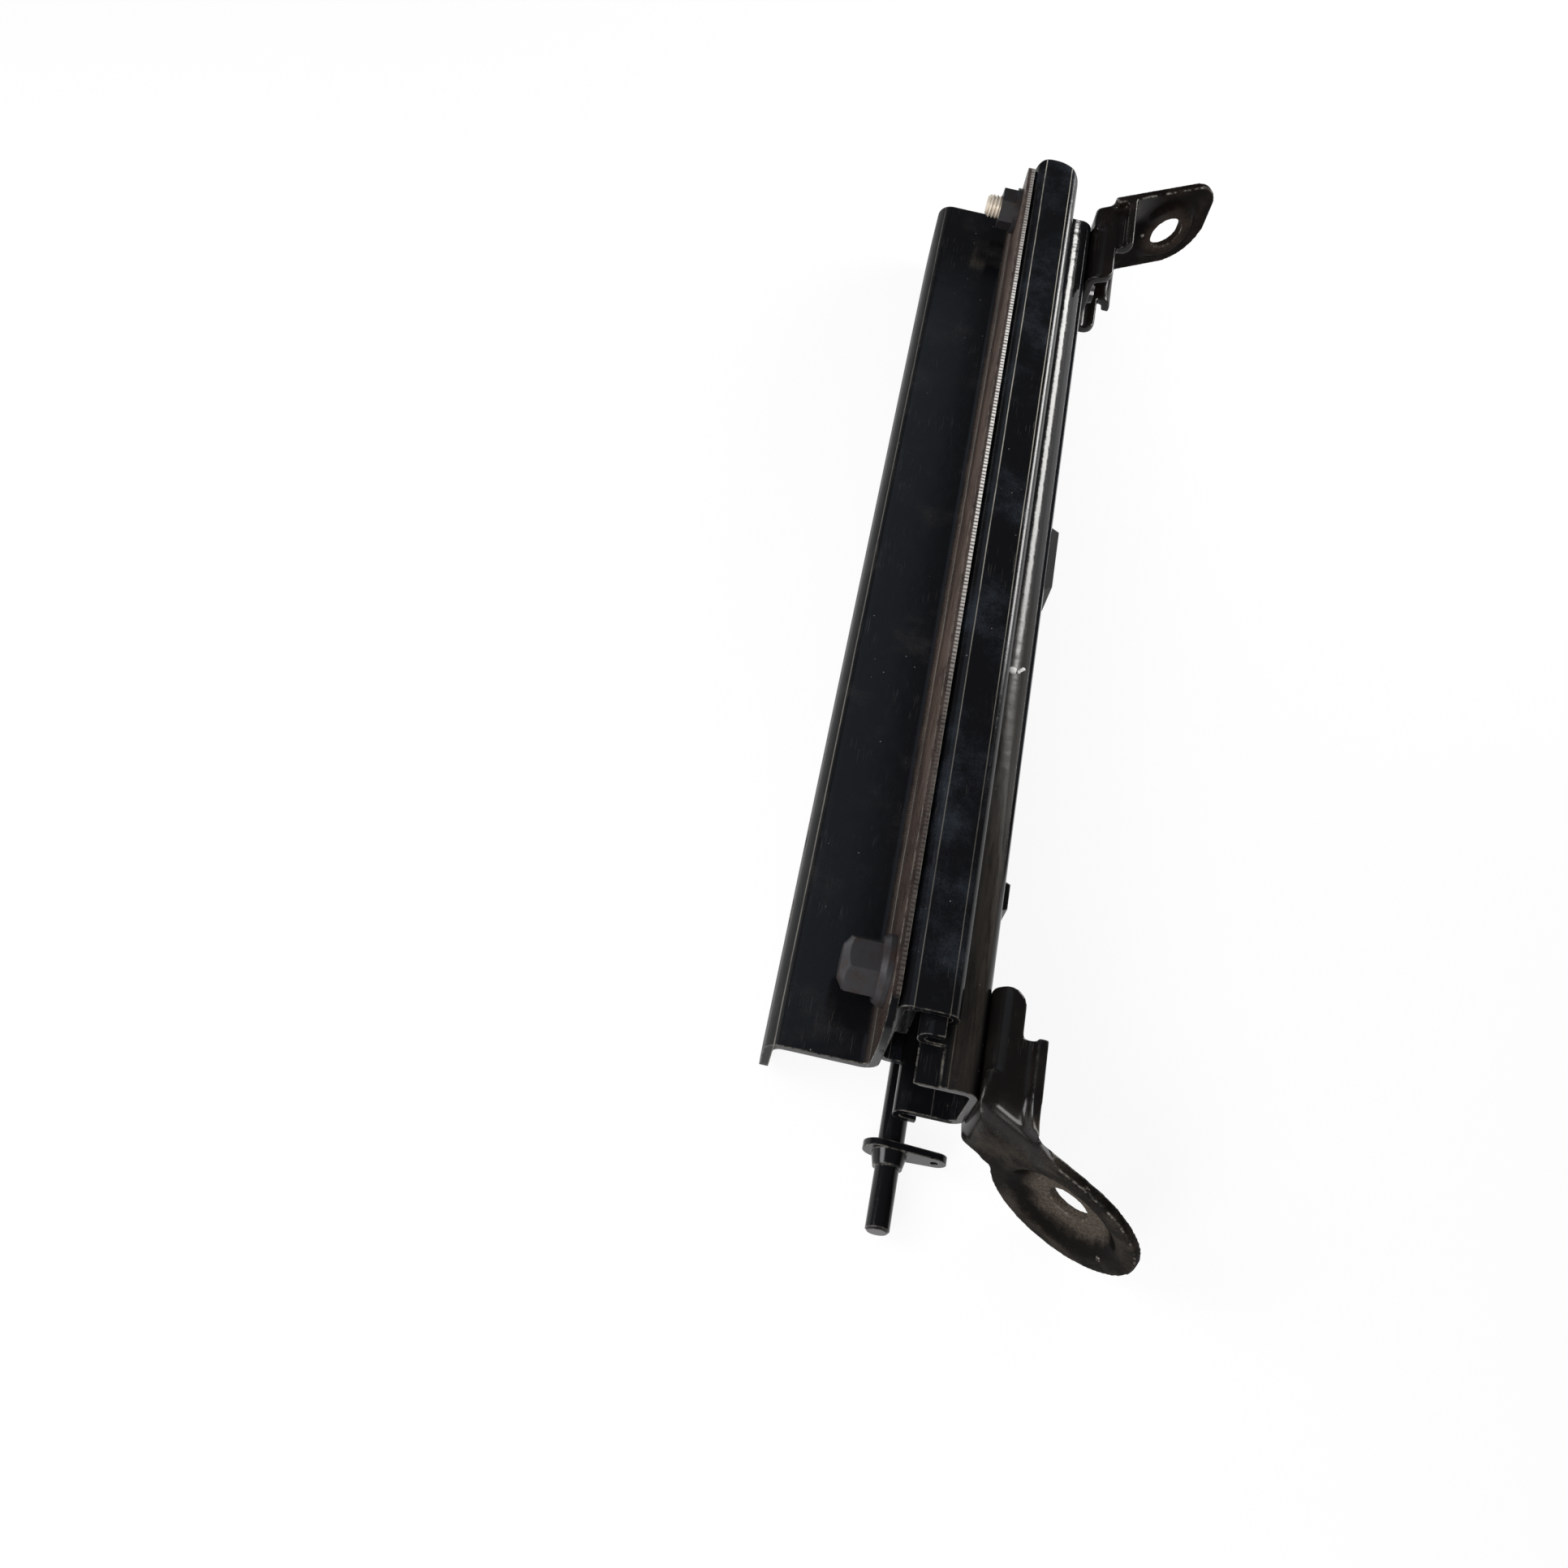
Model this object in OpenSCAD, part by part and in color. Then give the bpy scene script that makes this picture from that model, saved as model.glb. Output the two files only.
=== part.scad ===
// Seat slide rail, lying on its inner side as it rests off the car.
// Rail frame used by every module: X runs down from the face where the seat bracket
// sits on the upper rail, Y runs to the rear from the bracket's front end, and Z runs
// outboard from the bracket web's outer face. in_part_frame() lays it on the ground.

/* [Seat bracket] */
// Length of the seat bracket
bracket_len = 334; // [300:1:360]
// Height of the bracket web
bracket_height = 29.4; // [26:0.2:36]
// Sheet thickness of the bracket
bracket_t = 2.3; // [1.8:0.1:3]
// Inside bend radius of the bracket
bracket_bend = 2.5; // [1.5:0.1:4]
// Depth of the seat flange behind the web's outer face
seat_flange = 24.5; // [23:0.5:28]
// Width of the flange that is bolted to the upper rail
bolt_flange = 25; // [22:0.5:28]
// Corner radius at both ends of the seat flange
seat_corner = 10.5; // [6:0.5:14]
// Corner radius at the front end of the bolted flange
bolt_corner = 13; // [6:1:16]
// Diameter of the seat bolt holes
seat_hole_d = 8.5; // [7:0.1:10]
// Distance of the seat holes from the bracket's front end
seat_hole_front = 45; // [35:1:55]
// Distance of the middle seat hole from the bracket's front end
seat_hole_mid = 68; // [62:1:90]
// Distance of the rear seat hole from the bracket's front end
seat_hole_rear = 283; // [240:1:295]

/* [Upper rail] */
// Length of the upper rail
upper_len = 331; // [310:1:345]
// How far the upper rail's front end sits behind the bracket's
upper_setback = 7.5; // [4:0.5:12]
// Width of the upper rail
upper_width = 38; // [38:0.5:40]
// Height of the upper rail
upper_height = 16; // [15:0.5:18]
// Sheet thickness of both rails
rail_t = 2; // [1.8:0.1:2.2]
// Sliding gap between the sheets of the two rails
slide_gap = 0.5; // [0.4:0.05:0.7]
// Outboard offset of the rails' centre from the web's outer face
rail_offset = 6; // [5:0.5:7]

/* [Lower rail] */
// Length of the lower rail
lower_len = 328; // [310:1:345]
// Position of the lower rail's front end
lower_front = -8.5; // [-14:0.5:-4]
// Depth of the lower rail's floor below the seat face
lower_depth = 24.2; // [24:0.1:27]
// Distance between lock slots
lock_pitch = 10; // [9:0.5:12]
// Number of lock slots in front of the resting one
lock_slots_front = 13; // [10:1:13]
// Number of lock slots behind the resting one
lock_slots_rear = 7; // [4:1:8]
// Length of one lock slot
lock_slot_len = 5; // [4.6:0.1:6]

/* [Feet] */
// Sheet thickness of the feet
foot_t = 3; // [2.5:0.1:3.2]
// Bend radius inside the foot's knee
foot_bend = 4; // [3:0.5:5]
// Width of the saddle under the lower rail, over its wings
saddle_width = 26; // [25:0.5:27]
// How far the wings' lips stand out
lip_reach = 2.5; // [2.5:0.1:4]
// Slope of the front foot below the rail, in degrees
front_slope = 61; // [56:1:66]
// Position of the front foot's knee
front_knee = -10.6; // [-12:0.2:-9]
// Run of the front foot from its knee to the hole
front_run = 30.2; // [28:0.2:34]
// Distance of the front hole inboard of the web's outer face
front_hole_inboard = 3; // [2:0.1:4]
// Radius of the front foot's round end
front_round = 21.5; // [20:0.5:24]
// Depth of the pressed pad round the front hole
front_pad_depth = 3.6; // [2:0.1:4.5]
// Diameter of the front floor bolt hole
front_hole_d = 11; // [9:0.2:13]
// Slope of the rear foot below the rail, in degrees
rear_slope = 58; // [54:1:62]
// Position of the rear foot's knee
rear_knee = 325.6; // [324:0.2:330]
// Run of the rear foot from its knee to the hole
rear_run = 29.7; // [28:0.1:34]
// Length of the rear foot past its hole
rear_tip = 18.5; // [17:0.5:21]
// Depth of the pressed pad round the rear hole
rear_pad_depth = 2.5; // [1.5:0.1:3]
// Diameter of the rear floor bolt hole
rear_hole_d = 12; // [9:0.2:14]

/* [Fasteners] */
// Across flats of the front flange bolt
bolt_af = 14; // [13:0.5:16]
// Flange diameter of the front bolt
bolt_flange_d = 19.2; // [18:0.2:20]
// Thread diameter of the front bolt
bolt_d = 10; // [8:1:10]
// Position of the front bolt along the bracket
bolt_y = 21.6; // [18:0.2:28]
// Distance of both bolts outboard of the web
bolt_z = 11.8; // [11.4:0.1:13]
// Thread diameter of the rear stud
stud_d = 8; // [6:0.5:8]
// Position of the rear stud along the bracket
stud_y = 324; // [314:0.5:325]

/* [Latch] */
// Diameter of the release rod
rod_d = 7; // [6.4:0.1:7.4]
// Diameter of the rod's free front end, which takes the release handle
rod_end_d = 6.4; // [5:0.1:6.6]
// Depth of the rod's axis below the seat face
rod_x = 8.7; // [8.4:0.1:9]
// Distance of the rod's axis inboard of the web's outer face
rod_inboard = 18.5; // [18.2:0.1:18.8]
// Position of the rod's free front end
rod_front = -36.2; // [-42:0.2:-30]
// Position of the rod's rear end
rod_rear = 240; // [238:1:255]
// Position of the middle of the pawl
pawl_y = 177; // [170:1:184]
// Width of one pawl tooth
tooth_w = 4; // [3.4:0.1:4.4]
// Turn of the rod that draws the teeth out of the lock slots
release_angle = 18; // [17:0.5:20]

/* [Hidden] */
$fn = 64;

black_paint = [0.055, 0.055, 0.06];
dusty_black = [0.085, 0.078, 0.074];
dark_zinc = [0.2, 0.2, 0.22];
raw_steel = [0.55, 0.52, 0.48];
nylon = [0.75, 0.73, 0.66];

// Sheet centre lines of the two rails, measured across from the rails' middle
upper_wall = upper_width / 2 - rail_t / 2;
lip_wall = upper_wall - rail_t - slide_gap;
upper_leg = lip_wall - rail_t - slide_gap;
lower_wall = upper_leg - rail_t - slide_gap;
hook_bend = (upper_wall - upper_leg - rail_t) / 2 - 0.1;
shoulder_bend = 1.8;
floor_bend = 2;

// Balls run between the upper rail's corner and the lower rail's lip
ball_d = 4.2;
ball_gap = 0.2;
ball_x = rail_t + ball_gap + ball_d / 2;
ball_across = upper_wall - rail_t / 2 - ball_gap - ball_d / 2;
ball_count = 4;
ball_pitch = 40;
lip_top = rail_t + ball_d + ball_gap;
lip_end = upper_height - rail_t - 1.1;
leg_end = lip_top + rail_t + 1.1;
cage_len = 140;
cage_y = 167;
cage_w = 4.6;
cage_inset = 0.6;
cage_h = 2.8;
cage_x = ball_x;

upper_front = upper_setback;
upper_rear = upper_front + upper_len;
lower_rear = lower_front + lower_len;
floor_x = lower_depth;
foot_x = floor_x + foot_t / 2;
rod_z = -rod_inboard;

// The lock teeth pass just under the upper rail's hook
tooth_top = upper_height + 0.5;
tooth_t = 1.8;
tooth_count = 3;
tooth_tip = rail_offset - lower_wall + rail_t / 2 + 0.3;
lock_slot_top = tooth_top - 0.4;
lock_slot_height = 5.4;
pawl_t = 2;
pawl_len = 30;
hub_wall = 1.6;

front_tip_x = foot_x + (front_run + front_round) * sin(front_slope) + foot_t / 2 * cos(front_slope);
front_tip_y = front_knee - (front_run + front_round) * cos(front_slope) - foot_t / 2 * sin(front_slope);
rear_tip_y = rear_knee + (rear_run + rear_tip) * cos(rear_slope) + foot_t / 2 * sin(rear_slope);
origin_x = (front_tip_x - bracket_height) / 2;
origin_y = (front_tip_y + rear_tip_y) / 2;
ground_z = -max(seat_flange, front_hole_inboard + front_round);
fit_gap = 0.05;
over = 1;

function unit(v) = v / norm(v);
function left_of(d) = [-d.y, d.x];
function turn_at(p, i) = let (a = unit(p[i] - p[i - 1]), b = unit(p[i + 1] - p[i]))
    atan2(a.x * b.y - a.y * b.x, a * b);
function trim_at(p, i, t, radii) = i == 0 || i == len(p) - 1 ? 0
    : (radii[i - 1] + t / 2) * tan(abs(turn_at(p, i)) / 2);

// Lays the rail frame on the ground, centred on the part's own origin
module in_part_frame() {
    translate([-origin_x, -origin_y, -ground_z]) children();
}

// Sector of a ring, swept from one angle through a turn
module ring_sector(inner, outer, from, turn) {
    reach = 2 * outer;
    intersection() {
        difference() {
            circle(outer);
            circle(inner);
        }
        polygon([[0, 0], for (k = [0:2]) reach * [cos(from + turn * k / 2), sin(from + turn * k / 2)]]);
    }
}

// Section of a folded sheet along its centre line, with an inside radius at each fold
module sheet_path(p, t, radii) {
    last = len(p) - 1;
    for (i = [0:last - 1]) {
        d = unit(p[i + 1] - p[i]);
        from = p[i] + trim_at(p, i, t, radii) * d;
        run = norm(p[i + 1] - p[i]) - trim_at(p, i, t, radii) - trim_at(p, i + 1, t, radii);
        translate(from) rotate(atan2(d.y, d.x)) translate([0, -t / 2]) square([run, t]);
    }
    for (i = [1:last - 1]) {
        d = unit(p[i] - p[i - 1]);
        side = sign(turn_at(p, i));
        middle = radii[i - 1] + t / 2;
        centre = p[i] - trim_at(p, i, t, radii) * d + side * middle * left_of(d);
        start = p[i] - trim_at(p, i, t, radii) * d - centre;
        translate(centre)
            ring_sector(radii[i - 1], radii[i - 1] + t, atan2(start.y, start.x), turn_at(p, i));
    }
}

// Draws an X-Z section along Y
module along_y(from, length) {
    translate([0, from + length, 0]) rotate([90, 0, 0]) linear_extrude(length) children();
}

// Draws a Y-Z outline along X
module along_x(from, length) {
    translate([from, 0, 0]) rotate([90, 0, 90]) linear_extrude(length) children();
}

// Draws an X-Y outline along Z
module along_z(from, length) {
    translate([0, 0, from]) linear_extrude(length) children();
}

// What is cut away to round a square corner at the origin
module corner_cut(r) {
    difference() {
        translate([-over, -over]) square(r + over);
        translate([r, r]) circle(r);
    }
}

module hexagon(af) {
    circle(d = af / cos(30), $fn = 6);
}

module lower_section() {
    translate([0, rail_offset]) sheet_path([
        [lip_end, -lip_wall], [lip_top + rail_t / 2, -lip_wall], [lip_top + rail_t / 2, -lower_wall],
        [floor_x - rail_t / 2, -lower_wall], [floor_x - rail_t / 2, lower_wall],
        [lip_top + rail_t / 2, lower_wall], [lip_top + rail_t / 2, lip_wall], [lip_end, lip_wall]],
        rail_t, [hook_bend, hook_bend, floor_bend, floor_bend, hook_bend, hook_bend]);
}

module upper_section() {
    translate([0, rail_offset]) sheet_path([
        [leg_end, -upper_leg], [upper_height - rail_t / 2, -upper_leg],
        [upper_height - rail_t / 2, -upper_wall], [rail_t / 2, -upper_wall],
        [rail_t / 2, upper_wall], [upper_height - rail_t / 2, upper_wall],
        [upper_height - rail_t / 2, upper_leg], [leg_end, upper_leg]],
        rail_t, [hook_bend, hook_bend, shoulder_bend, shoulder_bend, hook_bend, hook_bend]);
}

rivet_r = 2.6;
rivet_head_r = 4;
rivet_head_h = 1.8;
rivet_taper = 1;
rivet_y = [2, 15, 297, 311];

lip_cut_len = 11;
lance_w = 12;
front_lance_y = 45.5;
front_lance_len = 10;
front_lance_h = 1.6;
mid_lance_y = 156;
mid_lance_len = 26;
mid_lance_h = 2.6;

// Lanced loop under the floor, a low arch that stands below it
module lance(from, length, height) {
    slope = height * 0.8;
    along_z(rail_offset - lance_w / 2, lance_w)
        polygon([[floor_x - rail_t / 2, from], [floor_x + height, from + slope],
            [floor_x + height, from + length - slope], [floor_x - rail_t / 2, from + length]]);
}

// Holes for the rivets through a sheet that lies square to X
module rivet_holes(from, t) {
    for (y = rivet_y)
        translate([from - over, y, rail_offset]) rotate([0, 90, 0]) cylinder(h = t + 2 * over, r = rivet_r);
}

module lower_rail() color(black_paint) in_part_frame() {
    difference() {
        along_y(lower_front, lower_len) lower_section();
        // Lock slots in the inner wall
        for (k = [-lock_slots_front:lock_slots_rear])
            translate([lock_slot_top, pawl_y + k * lock_pitch - lock_slot_len / 2,
                    rail_offset - lower_wall - rail_t])
                cube([lock_slot_height, lock_slot_len, 2 * rail_t]);
        rivet_holes(floor_x - rail_t, rail_t);
        // The outer lip is cut back at the front end
        translate([lip_top - over, lower_front - over, rail_offset + lower_wall])
            cube([lip_end - lip_top + 2 * over, lip_cut_len + over, lip_wall - lower_wall + rail_t]);
    }
    lance(front_lance_y, front_lance_len, front_lance_h);
    lance(mid_lance_y, mid_lance_len, mid_lance_h);
}

saddle_bend = 2;
lip_bend = 1;
wing_corner = 5;
wing_line = saddle_width / 2 - foot_t / 2;
lip_line = saddle_width / 2 + lip_reach;
knee_past = (foot_bend + foot_t / 2) * 1.2;
knee_inset = 0.2;

// Section of a foot's saddle: web and wings, with lips turned out where the lip is above zero
module saddle_section(depth, lip) {
    wing = depth - foot_t / 2;
    translate([0, rail_offset])
        if (lip > 0)
            sheet_path([[wing, -lip_line], [wing, -wing_line], [foot_x, -wing_line],
                [foot_x, wing_line], [wing, wing_line], [wing, lip_line]],
                foot_t, [lip_bend, saddle_bend, saddle_bend, lip_bend]);
        else
            sheet_path([[depth, -wing_line], [foot_x, -wing_line], [foot_x, wing_line], [depth, wing_line]],
                foot_t, [saddle_bend, saddle_bend]);
}

// Section of the two wings alone, from inside the knee's sheet to their lips
module wing_section(depth) {
    wing = depth - foot_t / 2;
    for (side = [-1, 1])
        translate([0, rail_offset])
            sheet_path([[foot_x, side * wing_line], [wing, side * wing_line], [wing, side * lip_line]],
                foot_t, [lip_bend]);
}

// Pressed pad round a floor bolt hole, one sheet thickness through
module pressed_pad(hole_d, flat_r, wall_r, low) {
    rotate_extrude() polygon([
        [hole_d / 2, low - foot_t / 2], [flat_r, low - foot_t / 2], [wall_r, -foot_t / 2],
        [wall_r, foot_t / 2], [flat_r, low + foot_t / 2], [hole_d / 2, low + foot_t / 2]]);
}

// Puts a tongue at its knee, turned down by its slope: X down it, Y outboard, Z along its normal
module at_knee(knee, slope, to_rear, across) {
    translate([foot_x, knee, across]) rotate([0, 0, to_rear * (90 - slope)]) rotate([90, 0, 0]) children();
}

// Bent strip over the wings, from under the floor to a little past the knee
module knee_strip(from, knee, slope, to_rear) {
    half = saddle_width / 2 - knee_inset;
    along_z(rail_offset - half, 2 * half) sheet_path([
        [foot_x, from], [foot_x, knee],
        [foot_x + knee_past * sin(slope), knee + to_rear * knee_past * cos(slope)]],
        foot_t, [foot_bend]);
}

// Everything on the upper side of a tongue's middle plane
module above_tongue(knee, slope, to_rear) {
    reach = 100;
    at_knee(knee, slope, to_rear, 0)
        translate([-reach, -reach, to_rear < 0 ? 0 : -reach]) cube([2 * reach, 2 * reach, reach]);
}

front_wing_low = 8.5;
front_wing_high = 14.5;
front_wing_short = floor_x + front_wing_low;
front_wing_long = floor_x + front_wing_high;
front_step = 8.4;
front_saddle_end = 22;
front_pad_r = 11.5;
front_pad_wall_r = 16;
// The tongue's neck stands this far out past the wing
neck_margin = 0.8;

module front_outline() {
    square_from = knee_past * 0.9;
    low = rail_offset - saddle_width / 2 - neck_margin + front_hole_inboard;
    difference() {
        union() {
            translate([square_from, low]) square([front_run - square_from, front_round - low]);
            translate([front_run, 0]) circle(front_round);
        }
        translate([front_run, 0]) circle(front_pad_wall_r);
    }
}

module front_foot() color(dusty_black) in_part_frame() difference() {
    saddle_front = front_knee + knee_past;
    union() {
        along_y(front_step, front_saddle_end - front_step) saddle_section(front_wing_short, 0);
        along_y(saddle_front, front_step - saddle_front) saddle_section(front_wing_long, 1);
        difference() {
            along_y(front_tip_y, saddle_front - front_tip_y) wing_section(front_wing_long);
            above_tongue(front_knee, front_slope, -1);
        }
        knee_strip(saddle_front, front_knee, front_slope, -1);
        at_knee(front_knee, front_slope, -1, -front_hole_inboard) {
            translate([0, 0, -foot_t / 2]) linear_extrude(foot_t) front_outline();
            translate([front_run, 0, 0])
                pressed_pad(front_hole_d, front_pad_r, front_pad_wall_r, -front_pad_depth);
        }
    }
    rivet_holes(floor_x, foot_t);
    // Round the wings' rear corners
    along_z(-2 * saddle_width, 4 * saddle_width)
        translate([front_wing_short, front_saddle_end]) rotate(180) corner_cut(wing_corner);
}

rear_wing_low = 8.8;
rear_wing_high = 14;
rear_wing_short = floor_x + rear_wing_low;
rear_wing_long = floor_x + rear_wing_high;
rear_step = 308;
rear_saddle_end = 291;
rear_half_width = 16.2;
rear_outer_corner = 9;
rear_inner_corner = 15;
rear_pad_r = 10;
rear_pad_wall_r = 13;

module rear_outline() {
    square_from = knee_past * 0.9;
    tip = rear_run + rear_tip;
    difference() {
        translate([square_from, -rear_half_width]) square([tip - square_from, 2 * rear_half_width]);
        translate([tip, rear_half_width]) rotate(180) corner_cut(rear_outer_corner);
        translate([tip, -rear_half_width]) mirror([1, 0]) corner_cut(rear_inner_corner);
        translate([rear_run, 0]) circle(rear_pad_wall_r);
    }
}

module rear_foot() color(dusty_black) in_part_frame() difference() {
    saddle_rear = rear_knee - knee_past;
    union() {
        along_y(rear_saddle_end, rear_step - rear_saddle_end) saddle_section(rear_wing_short, 0);
        along_y(rear_step, saddle_rear - rear_step) saddle_section(rear_wing_long, 1);
        difference() {
            along_y(saddle_rear, rear_tip_y - saddle_rear) wing_section(rear_wing_long);
            above_tongue(rear_knee, rear_slope, 1);
        }
        knee_strip(saddle_rear, rear_knee, rear_slope, 1);
        at_knee(rear_knee, rear_slope, 1, rail_offset) {
            translate([0, 0, -foot_t / 2]) linear_extrude(foot_t) rear_outline();
            translate([rear_run, 0, 0])
                pressed_pad(rear_hole_d, rear_pad_r, rear_pad_wall_r, rear_pad_depth);
        }
    }
    rivet_holes(floor_x, foot_t);
    along_z(-2 * saddle_width, 4 * saddle_width)
        translate([rear_wing_short, rear_saddle_end]) mirror([1, 0]) corner_cut(wing_corner);
}

module foot_rivets() color(black_paint) in_part_frame()
    for (y = rivet_y)
        translate([floor_x - rail_t, y, rail_offset]) rotate([0, 90, 0]) {
            translate([0, 0, -rivet_head_h])
                cylinder(h = rivet_head_h, r1 = rivet_head_r - rivet_taper, r2 = rivet_head_r);
            cylinder(h = rail_t + foot_t, r = rivet_r - fit_gap);
            translate([0, 0, rail_t + foot_t])
                cylinder(h = rivet_head_h, r1 = rivet_head_r, r2 = rivet_head_r - rivet_taper);
        }

upper_end_corners = [6, 9];

module upper_rail() color(black_paint) in_part_frame() difference() {
    along_y(upper_front, upper_len) upper_section();
    translate([-over, bolt_y, bolt_z]) rotate([0, 90, 0])
        cylinder(h = rail_t + 2 * over, r = bolt_d / 2 + fit_gap);
    translate([-over, stud_y, bolt_z]) rotate([0, 90, 0])
        cylinder(h = rail_t + 2 * over, r = stud_d / 2 + fit_gap);
    // Round the rear end of both walls
    for (x = [0, 1])
        translate([x * upper_height, upper_rear, rail_offset - upper_width])
            mirror([x, 0, 0]) mirror([0, 1, 0])
                linear_extrude(2 * upper_width) corner_cut(upper_end_corners[x]);
}

seat_hole_z = -(bracket_t + seat_flange) / 2;
seat_holes = [seat_hole_front, seat_hole_mid, seat_hole_rear];
bolt_rear_corner = 4;
seat_nut_af = 13;
seat_nut_h = 6.5;

module seat_bracket() color(black_paint) in_part_frame() difference() {
    along_y(0, bracket_len) sheet_path([
        [-bracket_height + bracket_t / 2, -seat_flange], [-bracket_height + bracket_t / 2, -bracket_t / 2],
        [-bracket_t / 2, -bracket_t / 2], [-bracket_t / 2, bolt_flange]],
        bracket_t, [bracket_bend, bracket_bend]);
    // Round the free corners of both flanges
    for (end = [0, 1])
        along_x(-bracket_height - over, bracket_t + 2 * over)
            translate([end * bracket_len, -seat_flange]) mirror([end, 0]) corner_cut(seat_corner);
    along_x(-bracket_t - over, bracket_t + 2 * over) {
        translate([0, bolt_flange]) mirror([0, 1]) corner_cut(bolt_corner);
        translate([bracket_len, bolt_flange]) rotate(180) corner_cut(bolt_rear_corner);
    }
    for (y = seat_holes)
        translate([-bracket_height - over, y, seat_hole_z]) rotate([0, 90, 0])
            cylinder(h = bracket_t + 2 * over, d = seat_hole_d);
    translate([-bracket_t - over, bolt_y, bolt_z]) rotate([0, 90, 0])
        cylinder(h = bracket_t + 2 * over, r = bolt_d / 2 + fit_gap);
    translate([-bracket_t - over, stud_y, bolt_z]) rotate([0, 90, 0])
        cylinder(h = bracket_t + 2 * over, r = stud_d / 2 + fit_gap);
}

module seat_weld_nuts() color(dark_zinc) in_part_frame()
    for (y = seat_holes)
        translate([-bracket_height + bracket_t, y, seat_hole_z]) rotate([0, 90, 0])
            linear_extrude(seat_nut_h) difference() {
                hexagon(seat_nut_af);
                circle(d = seat_hole_d - 0.5);
            }

nut_plate_t = 3.6;
nut_plate_len = 26;
nut_plate_half = 9;

module nut_plate() color(dark_zinc) in_part_frame() difference() {
    translate([rail_t, bolt_y - nut_plate_len / 2 + 1, bolt_z - nut_plate_half])
        cube([nut_plate_t, nut_plate_len, nut_plate_half + bolt_d / 2 + 1]);
    translate([rail_t - over, bolt_y, bolt_z]) rotate([0, 90, 0])
        cylinder(h = nut_plate_t + 2 * over, r = bolt_d / 2 + fit_gap);
}

bolt_flange_t = 3.2;
bolt_hex_h = 9.8;
bolt_chamfer = 2.6;

module front_bolt() color(dark_zinc) in_part_frame()
    translate([-bracket_t, bolt_y, bolt_z]) rotate([0, -90, 0]) {
        cylinder(h = bolt_flange_t / 2, d = bolt_flange_d);
        translate([0, 0, bolt_flange_t / 2])
            cylinder(h = bolt_flange_t / 2, d1 = bolt_flange_d, d2 = bolt_flange_d - 2);
        intersection() {
            translate([0, 0, bolt_flange_t]) rotate(30) linear_extrude(bolt_hex_h) hexagon(bolt_af);
            union() {
                translate([0, 0, bolt_flange_t]) cylinder(h = bolt_hex_h - bolt_chamfer, r = bolt_af);
                translate([0, 0, bolt_flange_t + bolt_hex_h - bolt_chamfer])
                    cylinder(h = bolt_chamfer, r1 = bolt_af / 2 + 1.4, r2 = bolt_af / 2 - 2.4);
            }
        }
        mirror([0, 0, 1]) cylinder(h = bracket_t + rail_t + nut_plate_t, r = bolt_d / 2);
    }

stud_head_d = 13;
stud_head_t = 3;
stud_proud = 11.5;
stud_tip = 1;

module rear_stud() color(raw_steel) in_part_frame()
    translate([rail_t, stud_y, bolt_z]) rotate([0, -90, 0]) {
        mirror([0, 0, 1]) cylinder(h = stud_head_t, d = stud_head_d);
        cylinder(h = rail_t + bracket_t + stud_proud - stud_tip, r = stud_d / 2);
        translate([0, 0, rail_t + bracket_t + stud_proud - stud_tip])
            cylinder(h = stud_tip, r1 = stud_d / 2, r2 = stud_d / 2 - stud_tip);
    }

rear_nut_af = 12;
rear_nut_h = 6.5;
rear_nut_flange_d = 15.5;
rear_nut_flange_t = 1.6;

module rear_nut() color(dark_zinc) in_part_frame()
    translate([-bracket_t, stud_y, bolt_z]) rotate([0, -90, 0]) difference() {
        union() {
            cylinder(h = rear_nut_flange_t, d = rear_nut_flange_d);
            rotate(30) linear_extrude(rear_nut_h) hexagon(rear_nut_af);
        }
        translate([0, 0, -over]) cylinder(h = rear_nut_h + 2 * over, r = stud_d / 2 + fit_gap);
    }

rod_run_gap = 0.25;
clip_wall = 1.2;
clip_len = 12;
clip_wall_z = rail_offset - upper_width / 2;
clip_r = rod_d / 2 + rod_run_gap + clip_wall;
front_clip_y = 58;
rear_clip_y = 232;

// Saddle that carries the release rod against the upper rail's inner wall
module rod_clip(y) {
    difference() {
        along_y(y - clip_len / 2, clip_len) union() {
            translate([rod_x, rod_z]) circle(clip_r);
            translate([rod_x - clip_r, rod_z]) square([2 * clip_r, clip_wall_z - rod_z]);
        }
        along_y(y - clip_len, 2 * clip_len) translate([rod_x, rod_z]) circle(rod_d / 2 + rod_run_gap);
    }
}

module front_rod_clip() color(dusty_black) in_part_frame() rod_clip(front_clip_y);

module rear_rod_clip() color(dusty_black) in_part_frame() rod_clip(rear_clip_y);

rod_end_chamfer = 0.6;

tab_y = -15.2;
tab_t = 2;
tab_r = 4.9;
tab_back = 2.3;
tab_reach = 12;
tab_end_r = 3.2;
tab_hole_r = 1.1;
tab_collar = 4;
rod_step_y = tab_y - tab_collar;

module release_rod() color(black_paint) in_part_frame()
    translate([rod_x, rod_step_y, rod_z]) rotate([90, 0, 0]) {
        mirror([0, 0, 1]) cylinder(h = rod_rear - rod_step_y, d = rod_d);
        cylinder(h = rod_step_y - rod_front - rod_end_chamfer, d = rod_end_d);
        translate([0, 0, rod_step_y - rod_front - rod_end_chamfer])
            cylinder(h = rod_end_chamfer, d1 = rod_end_d, d2 = rod_end_d - 2 * rod_end_chamfer);
    }

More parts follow.
